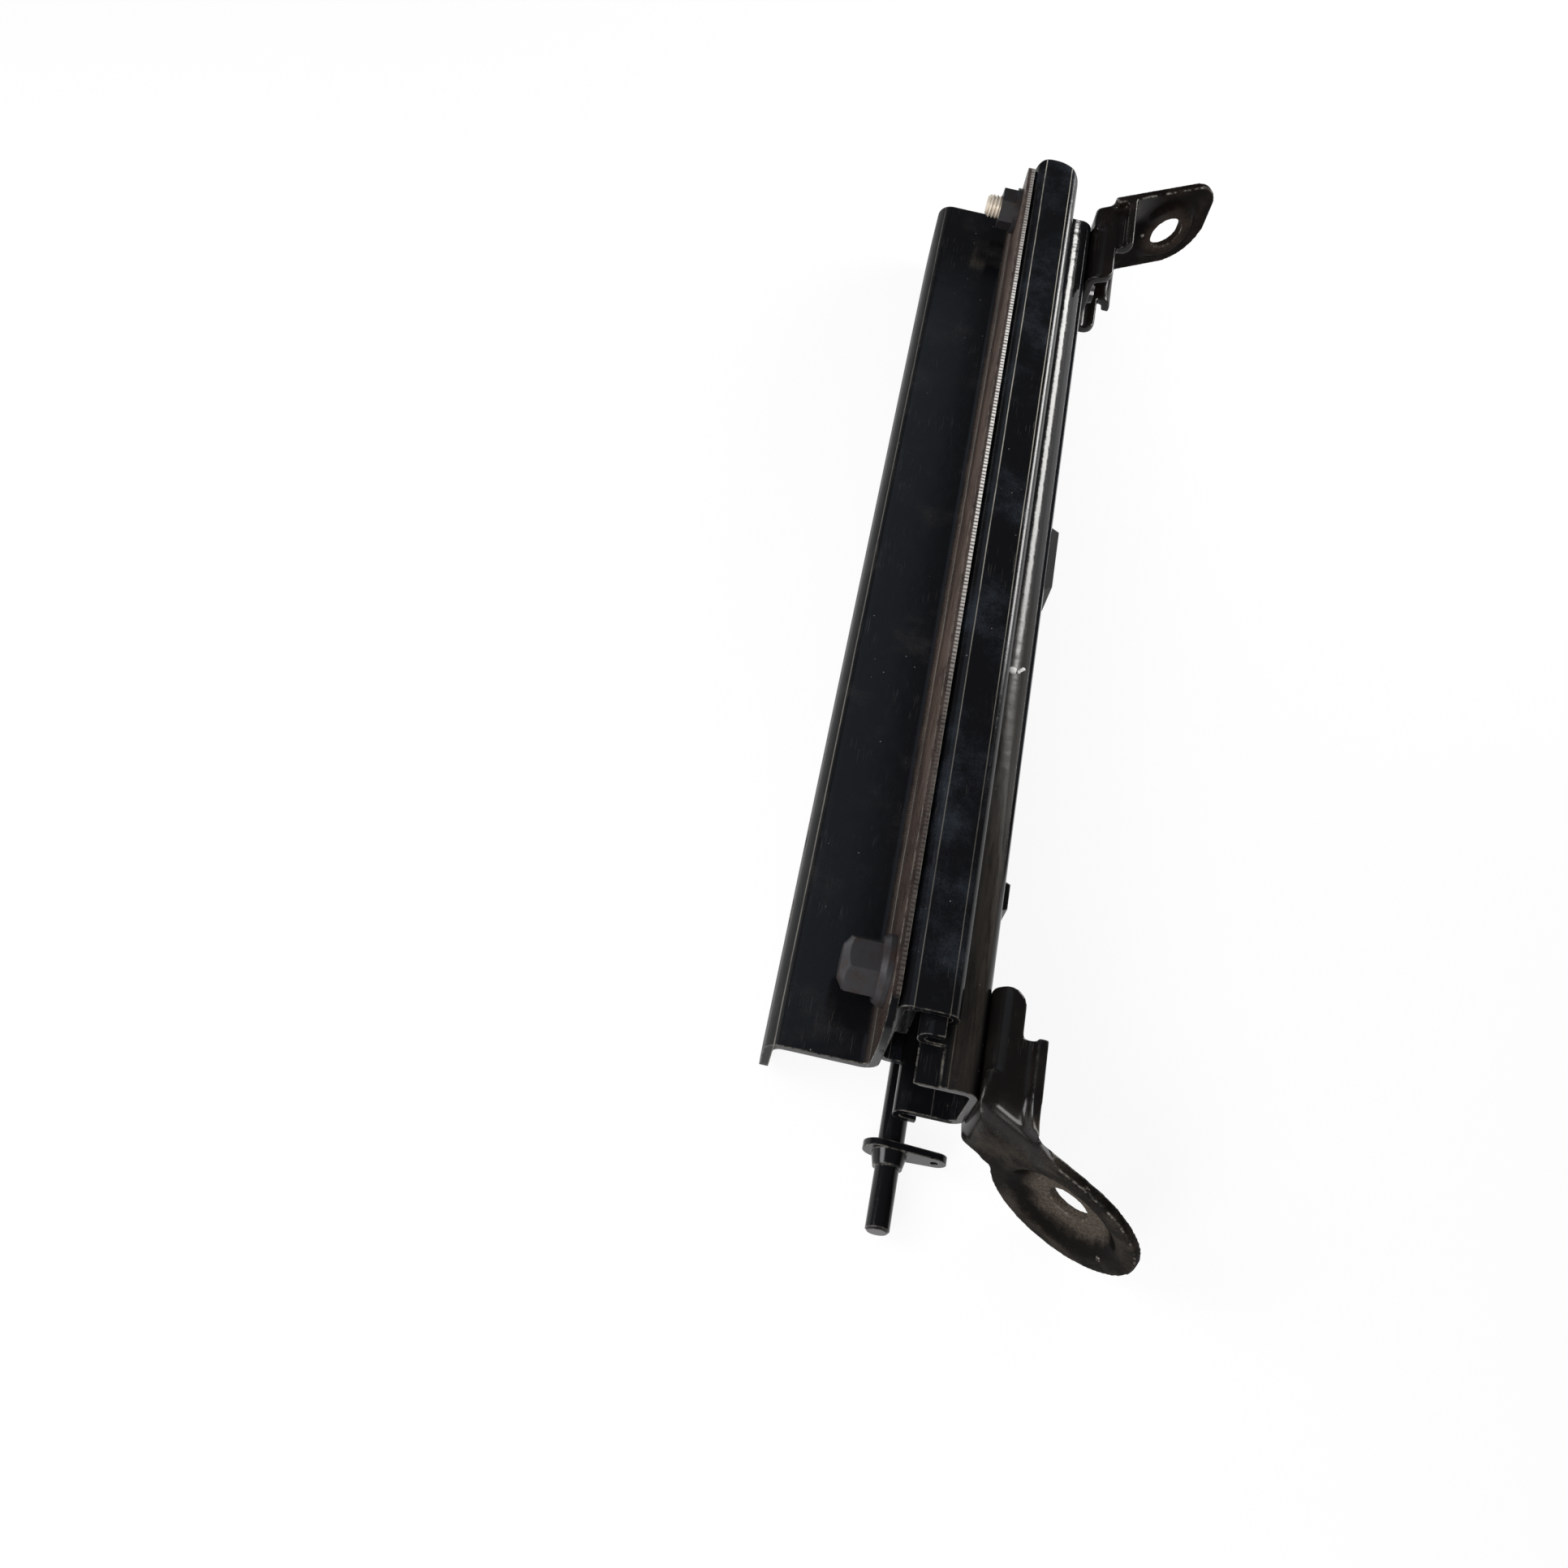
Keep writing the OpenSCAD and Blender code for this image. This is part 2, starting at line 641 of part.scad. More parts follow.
// Link tab on the rod, an oval plate with a flared collar and a small hole for a wire
module rod_link_tab() color(black_paint) in_part_frame() difference() {
    union() {
        along_y(tab_y, tab_t) translate([rod_x, rod_z]) {
            translate([-tab_back, 0]) circle(tab_r);
            translate([tab_reach, 0]) circle(tab_end_r);
            polygon([
                [-tab_back, -tab_r], [tab_reach, -tab_end_r], [tab_reach, tab_end_r], [-tab_back, tab_r],
            ]);
        }
        translate([rod_x, tab_y, rod_z]) rotate([90, 0, 0])
            cylinder(h = tab_collar, r1 = tab_r - 0.1, r2 = rod_d / 2 + 0.4);
    }
    along_y(tab_y - 2 * tab_collar, 4 * tab_collar) translate([rod_x, rod_z]) circle(d = rod_d);
    along_y(tab_y - over, tab_t + 2 * over) translate([rod_x + tab_reach, rod_z]) circle(tab_hole_r);
}

pawl_arm_z = rod_z + pawl_t / 2;

// Turns what rides on the rod from locked to released
module released() {
    translate([rod_x, 0, rod_z]) rotate([0, release_angle, 0]) translate([-rod_x, 0, -rod_z]) children();
}

function released_point(p) = let (x = p.x - rod_x, z = p.z - rod_z)
    [rod_x + x * cos(release_angle) + z * sin(release_angle), p.y,
        rod_z - x * sin(release_angle) + z * cos(release_angle)];

tooth_stand = 3;
tooth_root = rail_offset - lower_wall - rail_t / 2 - tooth_stand;

// Pawl on the rod: a hub, an arm down the rail's inner side and teeth turned into the slots
module latch_pawl() color(dusty_black) in_part_frame() released() {
    difference() {
        along_y(pawl_y - pawl_len / 2, pawl_len) union() {
            translate([rod_x, rod_z]) circle(rod_d / 2 + hub_wall);
            translate([rod_x, pawl_arm_z - pawl_t]) square([tooth_top + tooth_t - rod_x, pawl_t]);
            translate([tooth_top, pawl_arm_z - pawl_t]) square([tooth_t, tooth_root - pawl_arm_z + pawl_t]);
        }
        along_y(pawl_y - pawl_len, 2 * pawl_len) translate([rod_x, rod_z]) circle(d = rod_d);
    }
    for (k = [0:tooth_count - 1])
        translate([tooth_top, pawl_y + (k - (tooth_count - 1) / 2) * lock_pitch - tooth_w / 2, tooth_root])
            cube([tooth_t, tooth_w, tooth_tip - tooth_root]);
}

spring_wire = 1.1;
// From a surface to the centre of the wire that lies by it
spring_seat = 0.95;
spring_r = rod_d / 2 + spring_seat;
spring_turns = 6;
spring_pitch = 3.4;
spring_past_pawl = 5;
spring_y = pawl_y + pawl_len / 2 + spring_past_pawl;
spring_sides = 8;
spring_steps = 16;
spring_leg = 7;
hook_reach = 11;
hook_root = 1;
hook_inset = 2;

// Wire centre line: a hook over the pawl's arm, the coil, and a leg along the rail
spring_route = concat(
    [for (y = [spring_y - hook_reach, spring_y - hook_root])
        released_point([tooth_top - hook_inset, y, pawl_arm_z - pawl_t - spring_seat])],
    [for (k = [0:spring_turns * spring_steps + spring_steps / 2])
        let (a = 360 * k / spring_steps)
        [rod_x - spring_r * sin(a), spring_y + spring_pitch * k / spring_steps, rod_z - spring_r * cos(a)]],
    [[rod_x - spring_leg, spring_y + spring_pitch * (spring_turns + 0.5), rod_z + spring_r]]);

function heading(p, i) = unit(p[min(i + 1, len(p) - 1)] - p[max(i - 1, 0)]);
function ring_point(p, i, k) = let (
    d = heading(p, i),
    guide = abs(d.y) > 0.8 ? [1, 0, 0] : [0, 1, 0],
    u = unit(cross(d, guide)),
    v = cross(d, u),
    a = 360 * k / spring_sides)
    p[i] + spring_wire / 2 * (cos(a) * u + sin(a) * v);

module wire(p) {
    rings = len(p);
    points = [for (i = [0:rings - 1]) for (k = [0:spring_sides - 1]) ring_point(p, i, k)];
    walls = [for (i = [0:rings - 2]) for (k = [0:spring_sides - 1])
        let (a = i * spring_sides + k, b = i * spring_sides + (k + 1) % spring_sides)
        [a, b, b + spring_sides, a + spring_sides]];
    front = [for (k = [spring_sides - 1:-1:0]) k];
    back = [for (k = [0:spring_sides - 1]) (rings - 1) * spring_sides + k];
    polyhedron(points, concat(walls, [front], [back]), convexity = 8);
}

module latch_spring() color(raw_steel) in_part_frame() wire(spring_route);

function ball_y(k) = cage_y + (k - (ball_count - 1) / 2) * ball_pitch;

// Flat strip that keeps one row of balls apart
module ball_cage(side) difference() {
    translate([
        cage_x - cage_h / 2,
        cage_y - cage_len / 2,
        rail_offset + side * ball_across - cage_w / 2 - side * cage_inset,
    ])
        cube([cage_h, cage_len, cage_w]);
    for (k = [0:ball_count - 1])
        translate([cage_x - cage_h, ball_y(k), rail_offset + side * ball_across]) rotate([0, 90, 0])
            cylinder(h = 2 * cage_h, r = ball_d / 2 + ball_gap);
}

module ball_row(side)
    for (k = [0:ball_count - 1])
        translate([ball_x, ball_y(k), rail_offset + side * ball_across]) sphere(d = ball_d);

module outer_ball_cage() color(nylon) in_part_frame() ball_cage(1);

module inner_ball_cage() color(nylon) in_part_frame() ball_cage(-1);

module outer_balls() color(raw_steel) in_part_frame() ball_row(1);

module inner_balls() color(raw_steel) in_part_frame() ball_row(-1);

lower_rail();
front_foot();
rear_foot();
foot_rivets();
upper_rail();
seat_bracket();
seat_weld_nuts();
nut_plate();
front_bolt();
rear_stud();
rear_nut();
front_rod_clip();
rear_rod_clip();
latch_spring();
release_rod();
rod_link_tab();
latch_pawl();
outer_ball_cage();
inner_ball_cage();
outer_balls();
inner_balls();
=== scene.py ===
"""Dresses a packed seat slide rail: black paint, road dust, a painted bluish sheen on the slider,
worn bends with painted highlights and drawn steel feet.
"""

import logging
import math
from dataclasses import dataclass
from enum import Enum
from typing import Sequence

import bmesh
import bpy
from mathutils import Matrix, Vector, noise


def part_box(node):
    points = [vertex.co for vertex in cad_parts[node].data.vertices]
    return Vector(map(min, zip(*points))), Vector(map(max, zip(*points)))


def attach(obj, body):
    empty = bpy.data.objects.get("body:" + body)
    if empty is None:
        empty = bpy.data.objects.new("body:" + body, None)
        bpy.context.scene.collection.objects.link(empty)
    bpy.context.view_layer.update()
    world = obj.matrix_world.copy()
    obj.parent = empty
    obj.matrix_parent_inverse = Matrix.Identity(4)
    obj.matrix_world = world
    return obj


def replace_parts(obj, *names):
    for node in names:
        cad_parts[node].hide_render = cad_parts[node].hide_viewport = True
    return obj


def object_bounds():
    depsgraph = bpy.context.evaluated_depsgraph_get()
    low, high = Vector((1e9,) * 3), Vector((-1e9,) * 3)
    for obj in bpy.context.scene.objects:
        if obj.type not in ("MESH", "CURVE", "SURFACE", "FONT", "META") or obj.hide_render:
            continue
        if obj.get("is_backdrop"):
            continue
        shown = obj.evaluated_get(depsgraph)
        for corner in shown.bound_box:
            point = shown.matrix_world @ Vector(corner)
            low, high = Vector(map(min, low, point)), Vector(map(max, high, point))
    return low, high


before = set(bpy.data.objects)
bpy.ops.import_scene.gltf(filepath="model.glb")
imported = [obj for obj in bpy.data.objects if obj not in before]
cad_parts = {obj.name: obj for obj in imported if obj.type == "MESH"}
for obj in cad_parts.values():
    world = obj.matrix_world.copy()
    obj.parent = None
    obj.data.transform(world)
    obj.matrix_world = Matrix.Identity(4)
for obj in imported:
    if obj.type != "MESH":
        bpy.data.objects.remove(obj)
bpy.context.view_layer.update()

log = logging.getLogger("seat_slide")

Colour = tuple[float, float, float]
Point = tuple[float, float, float]
Span = tuple[float, float]
Node = bpy.types.Node
Socket = bpy.types.NodeSocket

MM = 0.001
BEVEL_SAMPLES = 4
NOISE_MEAN = 0.5
FACES_UP = (0.5, 0.9)
FLANGE_REACH = 25.0
LEDGE = 17.5
FRONT_KNEE = -10.6
REAR_KNEE = 325.6


class Body(Enum):
    """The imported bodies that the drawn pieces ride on."""

    LOWER = "lower_rail"
    SLIDER = "slider"


class Slot(Enum):
    """The record's material slots."""

    RAIL_PAINT = "rail_paint"
    FOOT_PAINT = "foot_paint"
    BARE_STEEL = "bare_steel"


@dataclass(frozen=True)
class RailAxes:
    """Where the rail's own axes lie in the part's frame.

    X runs from the bolted face down to the floor, Y from the bracket's front end to the rear,
    and Z outboard from the bracket web's outer face.
    """

    origin: Vector

    @classmethod
    def from_bracket(cls, height: float = 29.4, flange: float = FLANGE_REACH) -> "RailAxes":
        """Reads the axes from the bracket's box.

        Args:
            height: The bracket's height in millimetres.
            flange: The bolted flange's reach in millimetres.

        Returns:
            The axes in the part's frame.
        """
        low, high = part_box("seat_bracket")
        return cls(Vector((low.x + height * MM, low.y, high.z - flange * MM)))

    def at(self, x: float, y: float, z: float) -> Vector:
        """Gives the part's frame point, in metres, of a rail point in millimetres."""
        return self.origin + Vector((x, y, z)) * MM


class Sheet:
    """A node tree that is filled by short calls."""

    COLOUR_A, COLOUR_B, MIXED_COLOUR = 6, 7, 2
    NUMBER_A, NUMBER_B, MIXED_NUMBER = 2, 3, 0

    def __init__(self, tree: bpy.types.NodeTree) -> None:
        """Takes the tree to fill."""
        self.tree = tree

    def add(self, kind: str, **settings: object) -> Node:
        """Adds a node.

        Args:
            kind: The node's type name.
            settings: Properties to set on it.

        Returns:
            The new node.
        """
        node = self.tree.nodes.new(kind)
        for name, value in settings.items():
            setattr(node, name, value)
        return node

    def feed(self, value: object, socket: Socket) -> None:
        """Links a socket to another, or sets a plain value on it."""
        if isinstance(value, Socket):
            self.tree.links.new(value, socket)
        elif isinstance(value, tuple) and len(value) == 3 and socket.type == "RGBA":
            socket.default_value = (*value, 1.0)
        else:
            socket.default_value = value

    def math(self, operation: str, a: object, b: object = 0.0) -> Socket:
        """Adds a Math node.

        Args:
            operation: The Math node's operation.
            a: The first number or socket.
            b: The second number or socket.

        Returns:
            The result's socket.
        """
        node = self.add("ShaderNodeMath", operation=operation)
        self.feed(a, node.inputs[0])
        self.feed(b, node.inputs[1])
        return node.outputs[0]

    def times(self, first: object, *others: object) -> object:
        """Multiplies numbers or sockets and gives the product's socket."""
        product = first
        for other in others:
            product = self.math("MULTIPLY", product, other)
        return product

    def most(self, first: object, *others: object) -> object:
        """Gives the socket of the largest of some numbers or sockets."""
        largest = first
        for other in others:
            largest = self.math("MAXIMUM", largest, other)
        return largest

    def parts(self, vector: Socket) -> Sequence[Socket]:
        """Splits a vector and gives the sockets of its X, Y and Z."""
        node = self.add("ShaderNodeSeparateXYZ")
        self.feed(vector, node.inputs[0])
        return node.outputs

    def span(self, value: object, low: float, high: float, to: Span = (0.0, 1.0)) -> Socket:
        """Maps a value smoothly from one span to another.

        Args:
            value: The number or socket to map.
            low: Where the first span starts.
            high: Where the first span ends.
            to: The span to map to.

        Returns:
            The mapped value's socket.
        """
        node = self.add("ShaderNodeMapRange", interpolation_type="SMOOTHSTEP")
        for number, item in enumerate((value, low, high, *to)):
            self.feed(item, node.inputs[number])
        return node.outputs[0]

    def blend(self, share: object, a: object, b: object) -> Socket:
        """Mixes two colours by a share and gives the result's socket."""
        node = self.add("ShaderNodeMix", data_type="RGBA")
        self.feed(share, node.inputs[0])
        self.feed(a, node.inputs[self.COLOUR_A])
        self.feed(b, node.inputs[self.COLOUR_B])
        return node.outputs[self.MIXED_COLOUR]

    def level(self, share: object, a: object, b: object) -> Socket:
        """Mixes two numbers by a share and gives the result's socket."""
        node = self.add("ShaderNodeMix", data_type="FLOAT")
        self.feed(share, node.inputs[0])
        self.feed(a, node.inputs[self.NUMBER_A])
        self.feed(b, node.inputs[self.NUMBER_B])
        return node.outputs[self.MIXED_NUMBER]

    def grain(self, place: object, scale: object, detail: float = 4.0, rough: float = 0.6) -> Socket:
        """Adds a noise texture and gives its value.

        Args:
            place: The coordinates' socket.
            scale: The noise's scale.
            detail: How many octaves it has.
            rough: How strong the fine octaves are.

        Returns:
            The noise value's socket.
        """
        node = self.add("ShaderNodeTexNoise")
        self.feed(place, node.inputs["Vector"])
        self.feed(scale, node.inputs["Scale"])
        self.feed(detail, node.inputs["Detail"])
        self.feed(rough, node.inputs["Roughness"])
        return node.outputs["Fac"]

    def streaks(self, place: object, scale: Point, detail: float = 4.0, rough: float = 0.6,
                turn: Point = (0.0, 0.0, 0.0)) -> Socket:
        """Adds a noise texture on turned and stretched coordinates and gives its value.

        Args:
            place: The coordinates' socket.
            scale: The noise's scale along each axis.
            detail: How many octaves it has.
            rough: How strong the fine octaves are.
            turn: How far the coordinates are turned about each axis, in degrees.

        Returns:
            The noise value's socket.
        """
        node = self.add("ShaderNodeMapping")
        self.feed(place, node.inputs["Vector"])
        node.inputs["Rotation"].default_value = tuple(math.radians(angle) for angle in turn)
        node.inputs["Scale"].default_value = scale
        return self.grain(node.outputs[0], 1.0, detail, rough)

    def group(self, name: str, **values: object) -> Socket:
        """Places a shader node group.

        Args:
            name: The group's name.
            values: Its inputs by name.

        Returns:
            The socket of the group's one output.
        """
        node = self.add("ShaderNodeGroup", node_tree=bpy.data.node_groups[name])
        for key, value in values.items():
            self.feed(value, node.inputs[key])
        return node.outputs[0]


class Effects:
    """The shader node groups that the finishes share."""

    MASK = {"Mask": "NodeSocketFloat"}
    SCRATCH_SETS = (
        ((0, 0, 7), (4.2, 0.07, 4.2)),
        ((0, 11, -24), (3.6, 0.11, 3.6)),
        ((14, 0, 63), (3.1, 0.14, 3.1)),
    )
    FINE_GRAIN = 0.35
    SPECK_RARITY = 3.0
    LINE_WANDER = 0.3

    def __init__(self, axes: RailAxes) -> None:
        """Builds every group once."""
        self.axes = axes
        self.rail_position()
        self.cloudy_film()
        self.hair_scratches()
        self.bright_specks()
        self.edge_wear()
        self.rub_highlight_line()
        self.paint_skin()

    def start(self, name: str, inputs: dict[str, float],
              outputs: dict[str, str]) -> tuple[Sheet, Node, Node]:
        """Opens a new group with its sockets.

        Args:
            name: The group's name.
            inputs: Each float input with its default.
            outputs: Each output with its socket type.

        Returns:
            The group's sheet, its input node and its output node.
        """
        tree = bpy.data.node_groups.new(name, "ShaderNodeTree")
        for key, value in inputs.items():
            socket = tree.interface.new_socket(key, in_out="INPUT", socket_type="NodeSocketFloat")
            socket.default_value = value
        for key, kind in outputs.items():
            tree.interface.new_socket(key, in_out="OUTPUT", socket_type=kind)
        sheet = Sheet(tree)
        return sheet, sheet.add("NodeGroupInput"), sheet.add("NodeGroupOutput")

    def rail_position(self) -> None:
        """Gives the surface point along the rail's own axes, in millimetres."""
        sheet, _, end = self.start("rail_position", {}, {"Position": "NodeSocketVector"})
        shift = sheet.add("ShaderNodeVectorMath", operation="SUBTRACT")
        sheet.feed(sheet.add("ShaderNodeTexCoord").outputs["Object"], shift.inputs[0])
        shift.inputs[1].default_value = self.axes.origin
        scale = sheet.add("ShaderNodeVectorMath", operation="SCALE")
        sheet.feed(shift.outputs[0], scale.inputs[0])
        scale.inputs["Scale"].default_value = 1 / MM
        sheet.feed(scale.outputs[0], end.inputs[0])

    def cloudy_film(self) -> None:
        """Gives a soft cloudy mask with a fine grain in it, which lays dust and stains, and on the
        upper rail a painted bluish sheen.
        """
        sheet, start, end = self.start("cloudy_film", {"Scale": 0.06, "Cover": 0.5}, self.MASK)
        place = sheet.group("rail_position")
        cloud = sheet.grain(place, start.outputs["Scale"], detail=6.0, rough=0.62)
        fine = sheet.math("SUBTRACT", sheet.grain(place, 2.3, detail=3.0, rough=0.7), NOISE_MEAN)
        base = sheet.math("ADD", cloud, sheet.times(fine, self.FINE_GRAIN))
        lift = sheet.math("SUBTRACT", start.outputs["Cover"], NOISE_MEAN)
        sheet.feed(sheet.span(sheet.math("ADD", base, lift), 0.42, 0.78), end.inputs["Mask"])

    def hair_scratches(self) -> None:
        """Gives fine scratches that lie mostly along the rail."""
        sheet, start, end = self.start("hair_scratches", {"Amount": 0.5}, self.MASK)
        place = sheet.group("rail_position")
        sets = []
        for turn, scale in self.SCRATCH_SETS:
            streak = sheet.streaks(place, scale, detail=1.0, rough=0.4, turn=turn)
            sets.append(sheet.span(streak, 0.69, 0.73))
        patch = sheet.span(sheet.grain(place, 0.06, detail=2.0), 0.50, 0.68)
        mask = sheet.times(sheet.most(*sets), patch, start.outputs["Amount"])
        sheet.feed(mask, end.inputs["Mask"])

    def bright_specks(self) -> None:
        """Gives tiny sparse chips and dust grains."""
        sheet, start, end = self.start("bright_specks", {"Scale": 0.5, "Size": 0.12}, self.MASK)
        cells = sheet.add("ShaderNodeTexVoronoi")
        sheet.feed(sheet.group("rail_position"), cells.inputs["Vector"])
        sheet.feed(start.outputs["Scale"], cells.inputs["Scale"])
        chance = sheet.add("ShaderNodeSeparateColor")
        sheet.feed(cells.outputs["Color"], chance.inputs[0])
        rare = sheet.math("POWER", chance.outputs[0], self.SPECK_RARITY)
        size = sheet.times(start.outputs["Size"], rare)
        sheet.feed(sheet.math("LESS_THAN", cells.outputs["Distance"], size), end.inputs["Mask"])

    def edge_wear(self) -> None:
        """Gives broken bright wear on sharp sheet edges."""
        sheet, start, end = self.start("edge_wear", {"Radius": 0.0006, "Amount": 0.7}, self.MASK)
        soft = sheet.add("ShaderNodeBevel", samples=BEVEL_SAMPLES)
        sheet.feed(start.outputs["Radius"], soft.inputs["Radius"])
        dot = sheet.add("ShaderNodeVectorMath", operation="DOT_PRODUCT")
        sheet.feed(soft.outputs[0], dot.inputs[0])
        sheet.feed(sheet.add("ShaderNodeNewGeometry").outputs["Normal"], dot.inputs[1])
        corner = sheet.span(dot.outputs["Value"], 0.995, 0.86)
        chips = sheet.grain(sheet.group("rail_position"), 0.35, detail=5.0, rough=0.7)
        broken = sheet.span(chips, 0.38, 0.62)
        sheet.feed(sheet.times(corner, broken, start.outputs["Amount"]), end.inputs["Mask"])

    def rub_highlight_line(self) -> None:
        """Gives a thin line along the rail, part rubbed paint and part painted highlight, of one
        strength in front and one behind.
        """
        inputs = {"Line": 0.0, "Width": 0.3, "Near": 0.3, "Far": 0.8}
        sheet, start, end = self.start("rub_highlight_line", inputs, self.MASK)
        place = sheet.group("rail_position")
        x, y, _ = sheet.parts(place)
        drift = sheet.math("SUBTRACT", sheet.grain(place, 0.03, detail=2.0), NOISE_MEAN)
        wander = sheet.times(drift, self.LINE_WANDER)
        offset = sheet.math("ADD", sheet.math("SUBTRACT", x, start.outputs["Line"]), wander)
        ratio = sheet.math("DIVIDE", sheet.math("ABSOLUTE", offset), start.outputs["Width"])
        streak = sheet.streaks(place, (0.4, 0.05, 0.4), rough=0.7)
        rub = sheet.span(streak, 0.30, 0.60, (0.35, 1.0))
        # Painted highlight: the line grows from its Near strength in front to its Far strength
        # behind, where the light catches the bends.
        behind = sheet.span(y, 70.0, 210.0)
        reach = sheet.level(behind, start.outputs["Near"], start.outputs["Far"])
        sheet.feed(sheet.times(sheet.span(ratio, 1.0, 0.3), rub, reach), end.inputs["Mask"])

    def paint_skin(self) -> None:
        """Gives the height of the paint's faint ripple and grit."""
        inputs = {"Ripple": 0.3, "Grit": 0.2}
        sheet, start, end = self.start("paint_skin", inputs, {"Height": "NodeSocketFloat"})
        place = sheet.group("rail_position")
        wave = sheet.grain(place, 0.22, detail=2.0, rough=0.4)
        ripple = sheet.times(wave, start.outputs["Ripple"])
        bits = sheet.span(sheet.grain(place, 1.6, detail=3.0), 0.60, 0.75)
        grit = sheet.times(bits, start.outputs["Grit"])
        sheet.feed(sheet.math("ADD", ripple, grit), end.inputs["Height"])


@dataclass(frozen=True)
class Relief:
    """A finish's bump: its strength, and its depth and softened edges' radius in metres."""

    strength: float
    depth: float
    radius: float


PAINT_RELIEF = Relief(0.35, 0.0002, 0.0005)
FOOT_RELIEF = Relief(0.35, 0.0002, 0.0004)
METAL_RELIEF = Relief(0.3, 0.00015, 0.0004)
PLASTIC_RELIEF = Relief(0.25, 0.00015, 0.0003)


class Finish:
    """A material that is built once and then dressed on pieces."""

    name: str

    def build(self) -> bpy.types.Material:
        """Returns the finish's material, and makes it on the first call."""
        found = bpy.data.materials.get(self.name)
        if found:
            return found
        material = bpy.data.materials.new(self.name)
        material.use_nodes = True
        sheet = Sheet(material.node_tree)
        self.fill(sheet, material.node_tree.nodes["Principled BSDF"])
        return material

    def fill(self, sheet: Sheet, shader: Node) -> None:
        """Fills the material's nodes."""
        raise NotImplementedError

    def bump(self, sheet: Sheet, shader: Node, height: object, relief: Relief,
             crown: object = None) -> None:
        """Feeds a bump over softened edges to the shader.

        Args:
            sheet: The material's sheet.
            shader: Its shader node.
            height: The height's socket.
            relief: The bump's strength, depth and edge radius.
            crown: The socket of a broad shape's height in millimetres, if there is one.
        """
        soft = sheet.add("ShaderNodeBevel", samples=BEVEL_SAMPLES)
        soft.inputs["Radius"].default_value = relief.radius
        normal = soft.outputs[0]
        if crown is not None:
            normal = self.raised(sheet, crown, 1.0, MM, normal)
        normal = self.raised(sheet, height, relief.strength, relief.depth, normal)
        sheet.feed(normal, shader.inputs["Normal"])

    @staticmethod
    def raised(sheet: Sheet, height: object, strength: float, depth: float,
               normal: Socket) -> Socket:
        """Adds a Bump node.

        Args:
            sheet: The material's sheet.
            height: The height's socket.
            strength: The bump's strength.
            depth: The bump's depth in metres.
            normal: The normal's socket that it starts from.

        Returns:
            The bumped normal's socket.
        """
        node = sheet.add("ShaderNodeBump")
        node.inputs["Strength"].default_value = strength
        node.inputs["Distance"].default_value = depth
        sheet.feed(height, node.inputs["Height"])
        sheet.feed(normal, node.inputs["Normal"])
        return node.outputs[0]


@dataclass(frozen=True)
class BlackPaint(Finish):
    """Gloss black paint with dust, rubbed bends with painted highlights along them and chipped
    edges.
    """

    name: str
    paint: Colour = (0.0036, 0.0038, 0.0045)
    gloss: Span = (0.13, 0.32)
    film_tone: Colour = (0.040, 0.036, 0.034)
    cover: float = 0.33
    film_share: float = 0.5
    pale_edge_tone: Colour = (0.40, 0.37, 0.32)
    edge: float = 0.45
    rub_highlight_lines: tuple[tuple[float, float, float, float], ...] = ()
    scratches: float = 0.14
    scratch_tone: Colour = (0.17, 0.16, 0.15)
    scratch_depth: float = 0.1
    speck_tone: Colour = (0.24, 0.22, 0.20)
    speck_share: float = 0.5
    specular: float = 0.26
    ripple: float = 0.3

    def fill(self, sheet: Sheet, shader: Node) -> None:
        """Fills the paint's nodes."""
        # The cloudy film lays dust; on the upper rail its bluish tone is a painted bluish sheen.
        film = sheet.group("cloudy_film", Scale=0.05, Cover=self.cover)
        colour = sheet.blend(sheet.times(film, self.film_share), self.paint, self.film_tone)
        rough = sheet.level(film, *self.gloss)
        colour, rough = self.settle(sheet, colour, rough)
        # Edge wear, joined with the rubbed lines whose painted highlight grows towards the rear.
        wear_and_highlight = sheet.group("edge_wear", Amount=self.edge)
        for line, width, near, far in self.rub_highlight_lines:
            rub = sheet.group("rub_highlight_line", Line=line, Width=width, Near=near, Far=far)
            wear_and_highlight = sheet.most(wear_and_highlight, rub)
        colour = sheet.blend(wear_and_highlight, colour, self.pale_edge_tone)
        scratch = sheet.group("hair_scratches", Amount=self.scratches)
        colour = sheet.blend(scratch, colour, self.scratch_tone)
        speck = sheet.group("bright_specks", Scale=0.34, Size=0.075)
        colour = sheet.blend(sheet.times(speck, self.speck_share), colour, self.speck_tone)
        sheet.feed(colour, shader.inputs["Base Color"])
        sheet.feed(rough, shader.inputs["Roughness"])
        shader.inputs["Specular IOR Level"].default_value = self.specular
        skin = sheet.group("paint_skin", Ripple=self.ripple, Grit=0.12)
        height = sheet.math("SUBTRACT", skin, sheet.times(scratch, self.scratch_depth))
        self.bump(sheet, shader, height, PAINT_RELIEF, self.crown(sheet))

    def settle(self, sheet: Sheet, colour: object, rough: object) -> tuple[object, object]:
        """Lays what has settled on the paint over it.

        Args:
            sheet: The material's sheet.
            colour: The colour's socket so far.
            rough: The roughness's socket so far.

        Returns:
            The colour and the roughness with the dirt on them.
        """
        return colour, rough

    def crown(self, sheet: Sheet) -> object:
        """Returns the socket of a broad shape's height, or nothing on flat sheet."""
        return None

    @staticmethod
    def axes_of(sheet: Sheet) -> tuple[Socket, Sequence[Socket], Sequence[Socket]]:
        """Returns the place on the rail, its parts and the parts of the surface's normal."""
        place = sheet.group("rail_position")
        normal = sheet.add("ShaderNodeTexCoord").outputs["Normal"]
        return place, sheet.parts(place), sheet.parts(normal)


